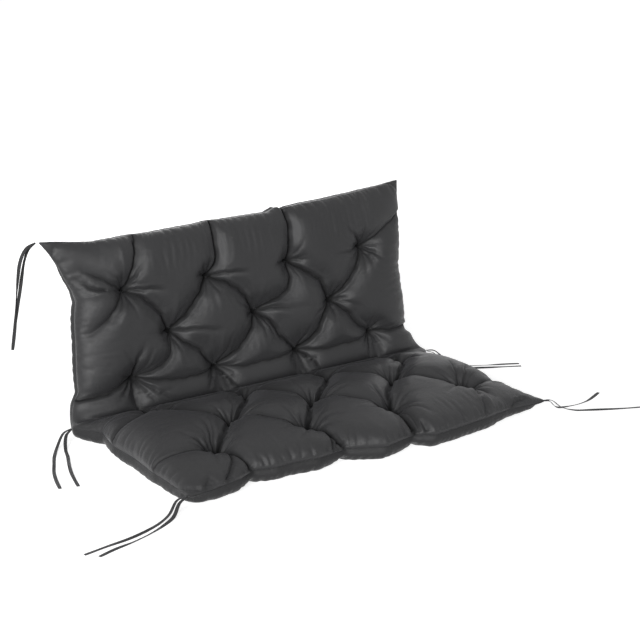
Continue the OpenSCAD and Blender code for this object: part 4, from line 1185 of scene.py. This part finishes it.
def makeFloorPaint():
    # A pale floor; the camera sees it a little lighter, and it still takes the shadow
    material = bpy.data.materials.new("paleFloor")
    material.use_nodes = True
    tree = material.node_tree
    shader = tree.nodes["Principled BSDF"]
    place = tree.nodes.new("ShaderNodeTexCoord").outputs["Object"]
    mottle = remap(tree, noise(tree, place, 3.0), 0.3, 0.7, 0.985, 1.0)
    colour = mixColour(tree, 1.0, (*studio["floorColour"], 1), mottle, "MULTIPLY")
    tree.links.new(colour, shader.inputs["Base Color"])
    shader.inputs["Roughness"].default_value = 0.9
    shader.inputs["Specular IOR Level"].default_value = 0.1
    shader.inputs["Emission Color"].default_value = (1, 1, 1, 1)
    tree.links.new(math2(tree, "MULTIPLY", seenRays(tree), studio["lift"]), shader.inputs["Emission Strength"])
    return material


def makeFloor():
    reach = studio["floor"] / 2
    mesh = bpy.data.meshes.new("floor")
    mesh.from_pydata([(-reach, -reach, 0), (reach, -reach, 0), (reach, reach, 0), (-reach, reach, 0)], [],
                     [(0, 1, 2, 3)])
    mesh.materials.append(makeFloorPaint())
    floor = bpy.data.objects.new("floor", mesh)
    bpy.context.collection.objects.link(floor)


def makeAir():
    world = bpy.data.worlds.new("studio")
    world.use_nodes = True
    tree = world.node_tree
    background = tree.nodes["Background"]
    background.inputs["Color"].default_value = (1, 1, 1, 1)
    tree.links.new(remap(tree, seenRays(tree), 0.0, 1.0, studio["air"], 1.0), background.inputs["Strength"])
    bpy.context.scene.world = world


makeFloor()
makeAir()
lamps = {
    "overhead": {"kind": "SUN", "at": (-1.4, -1.6, 0.78), "aim": (0, 0, 0.2), "power": 3.5, "angle": 24},
    "side": {"kind": "AREA", "at": (-2.6, -1.6, 1.5), "aim": (0, 0, 0.35), "power": 40, "width": 0.8},
    "back": {"kind": "AREA", "at": (0.6, 2.8, 0.8), "aim": (0, 0.3, 0.3), "power": 40, "width": 2.4},
}
for name, lamp in lamps.items():
    light = bpy.data.lights.new(name, lamp["kind"])
    light.energy = lamp["power"]
    if lamp["kind"] == "SUN":
        light.angle = math.radians(lamp["angle"])
    else:
        light.size = lamp["width"]
    holder = bpy.data.objects.new(name, light)
    holder.location = lamp["at"]
    holder.rotation_euler = (Vector(lamp["aim"]) - Vector(lamp["at"])).to_track_quat("-Z", "Y").to_euler()
    bpy.context.collection.objects.link(holder)
bpy.context.scene.view_settings.view_transform = "Standard"
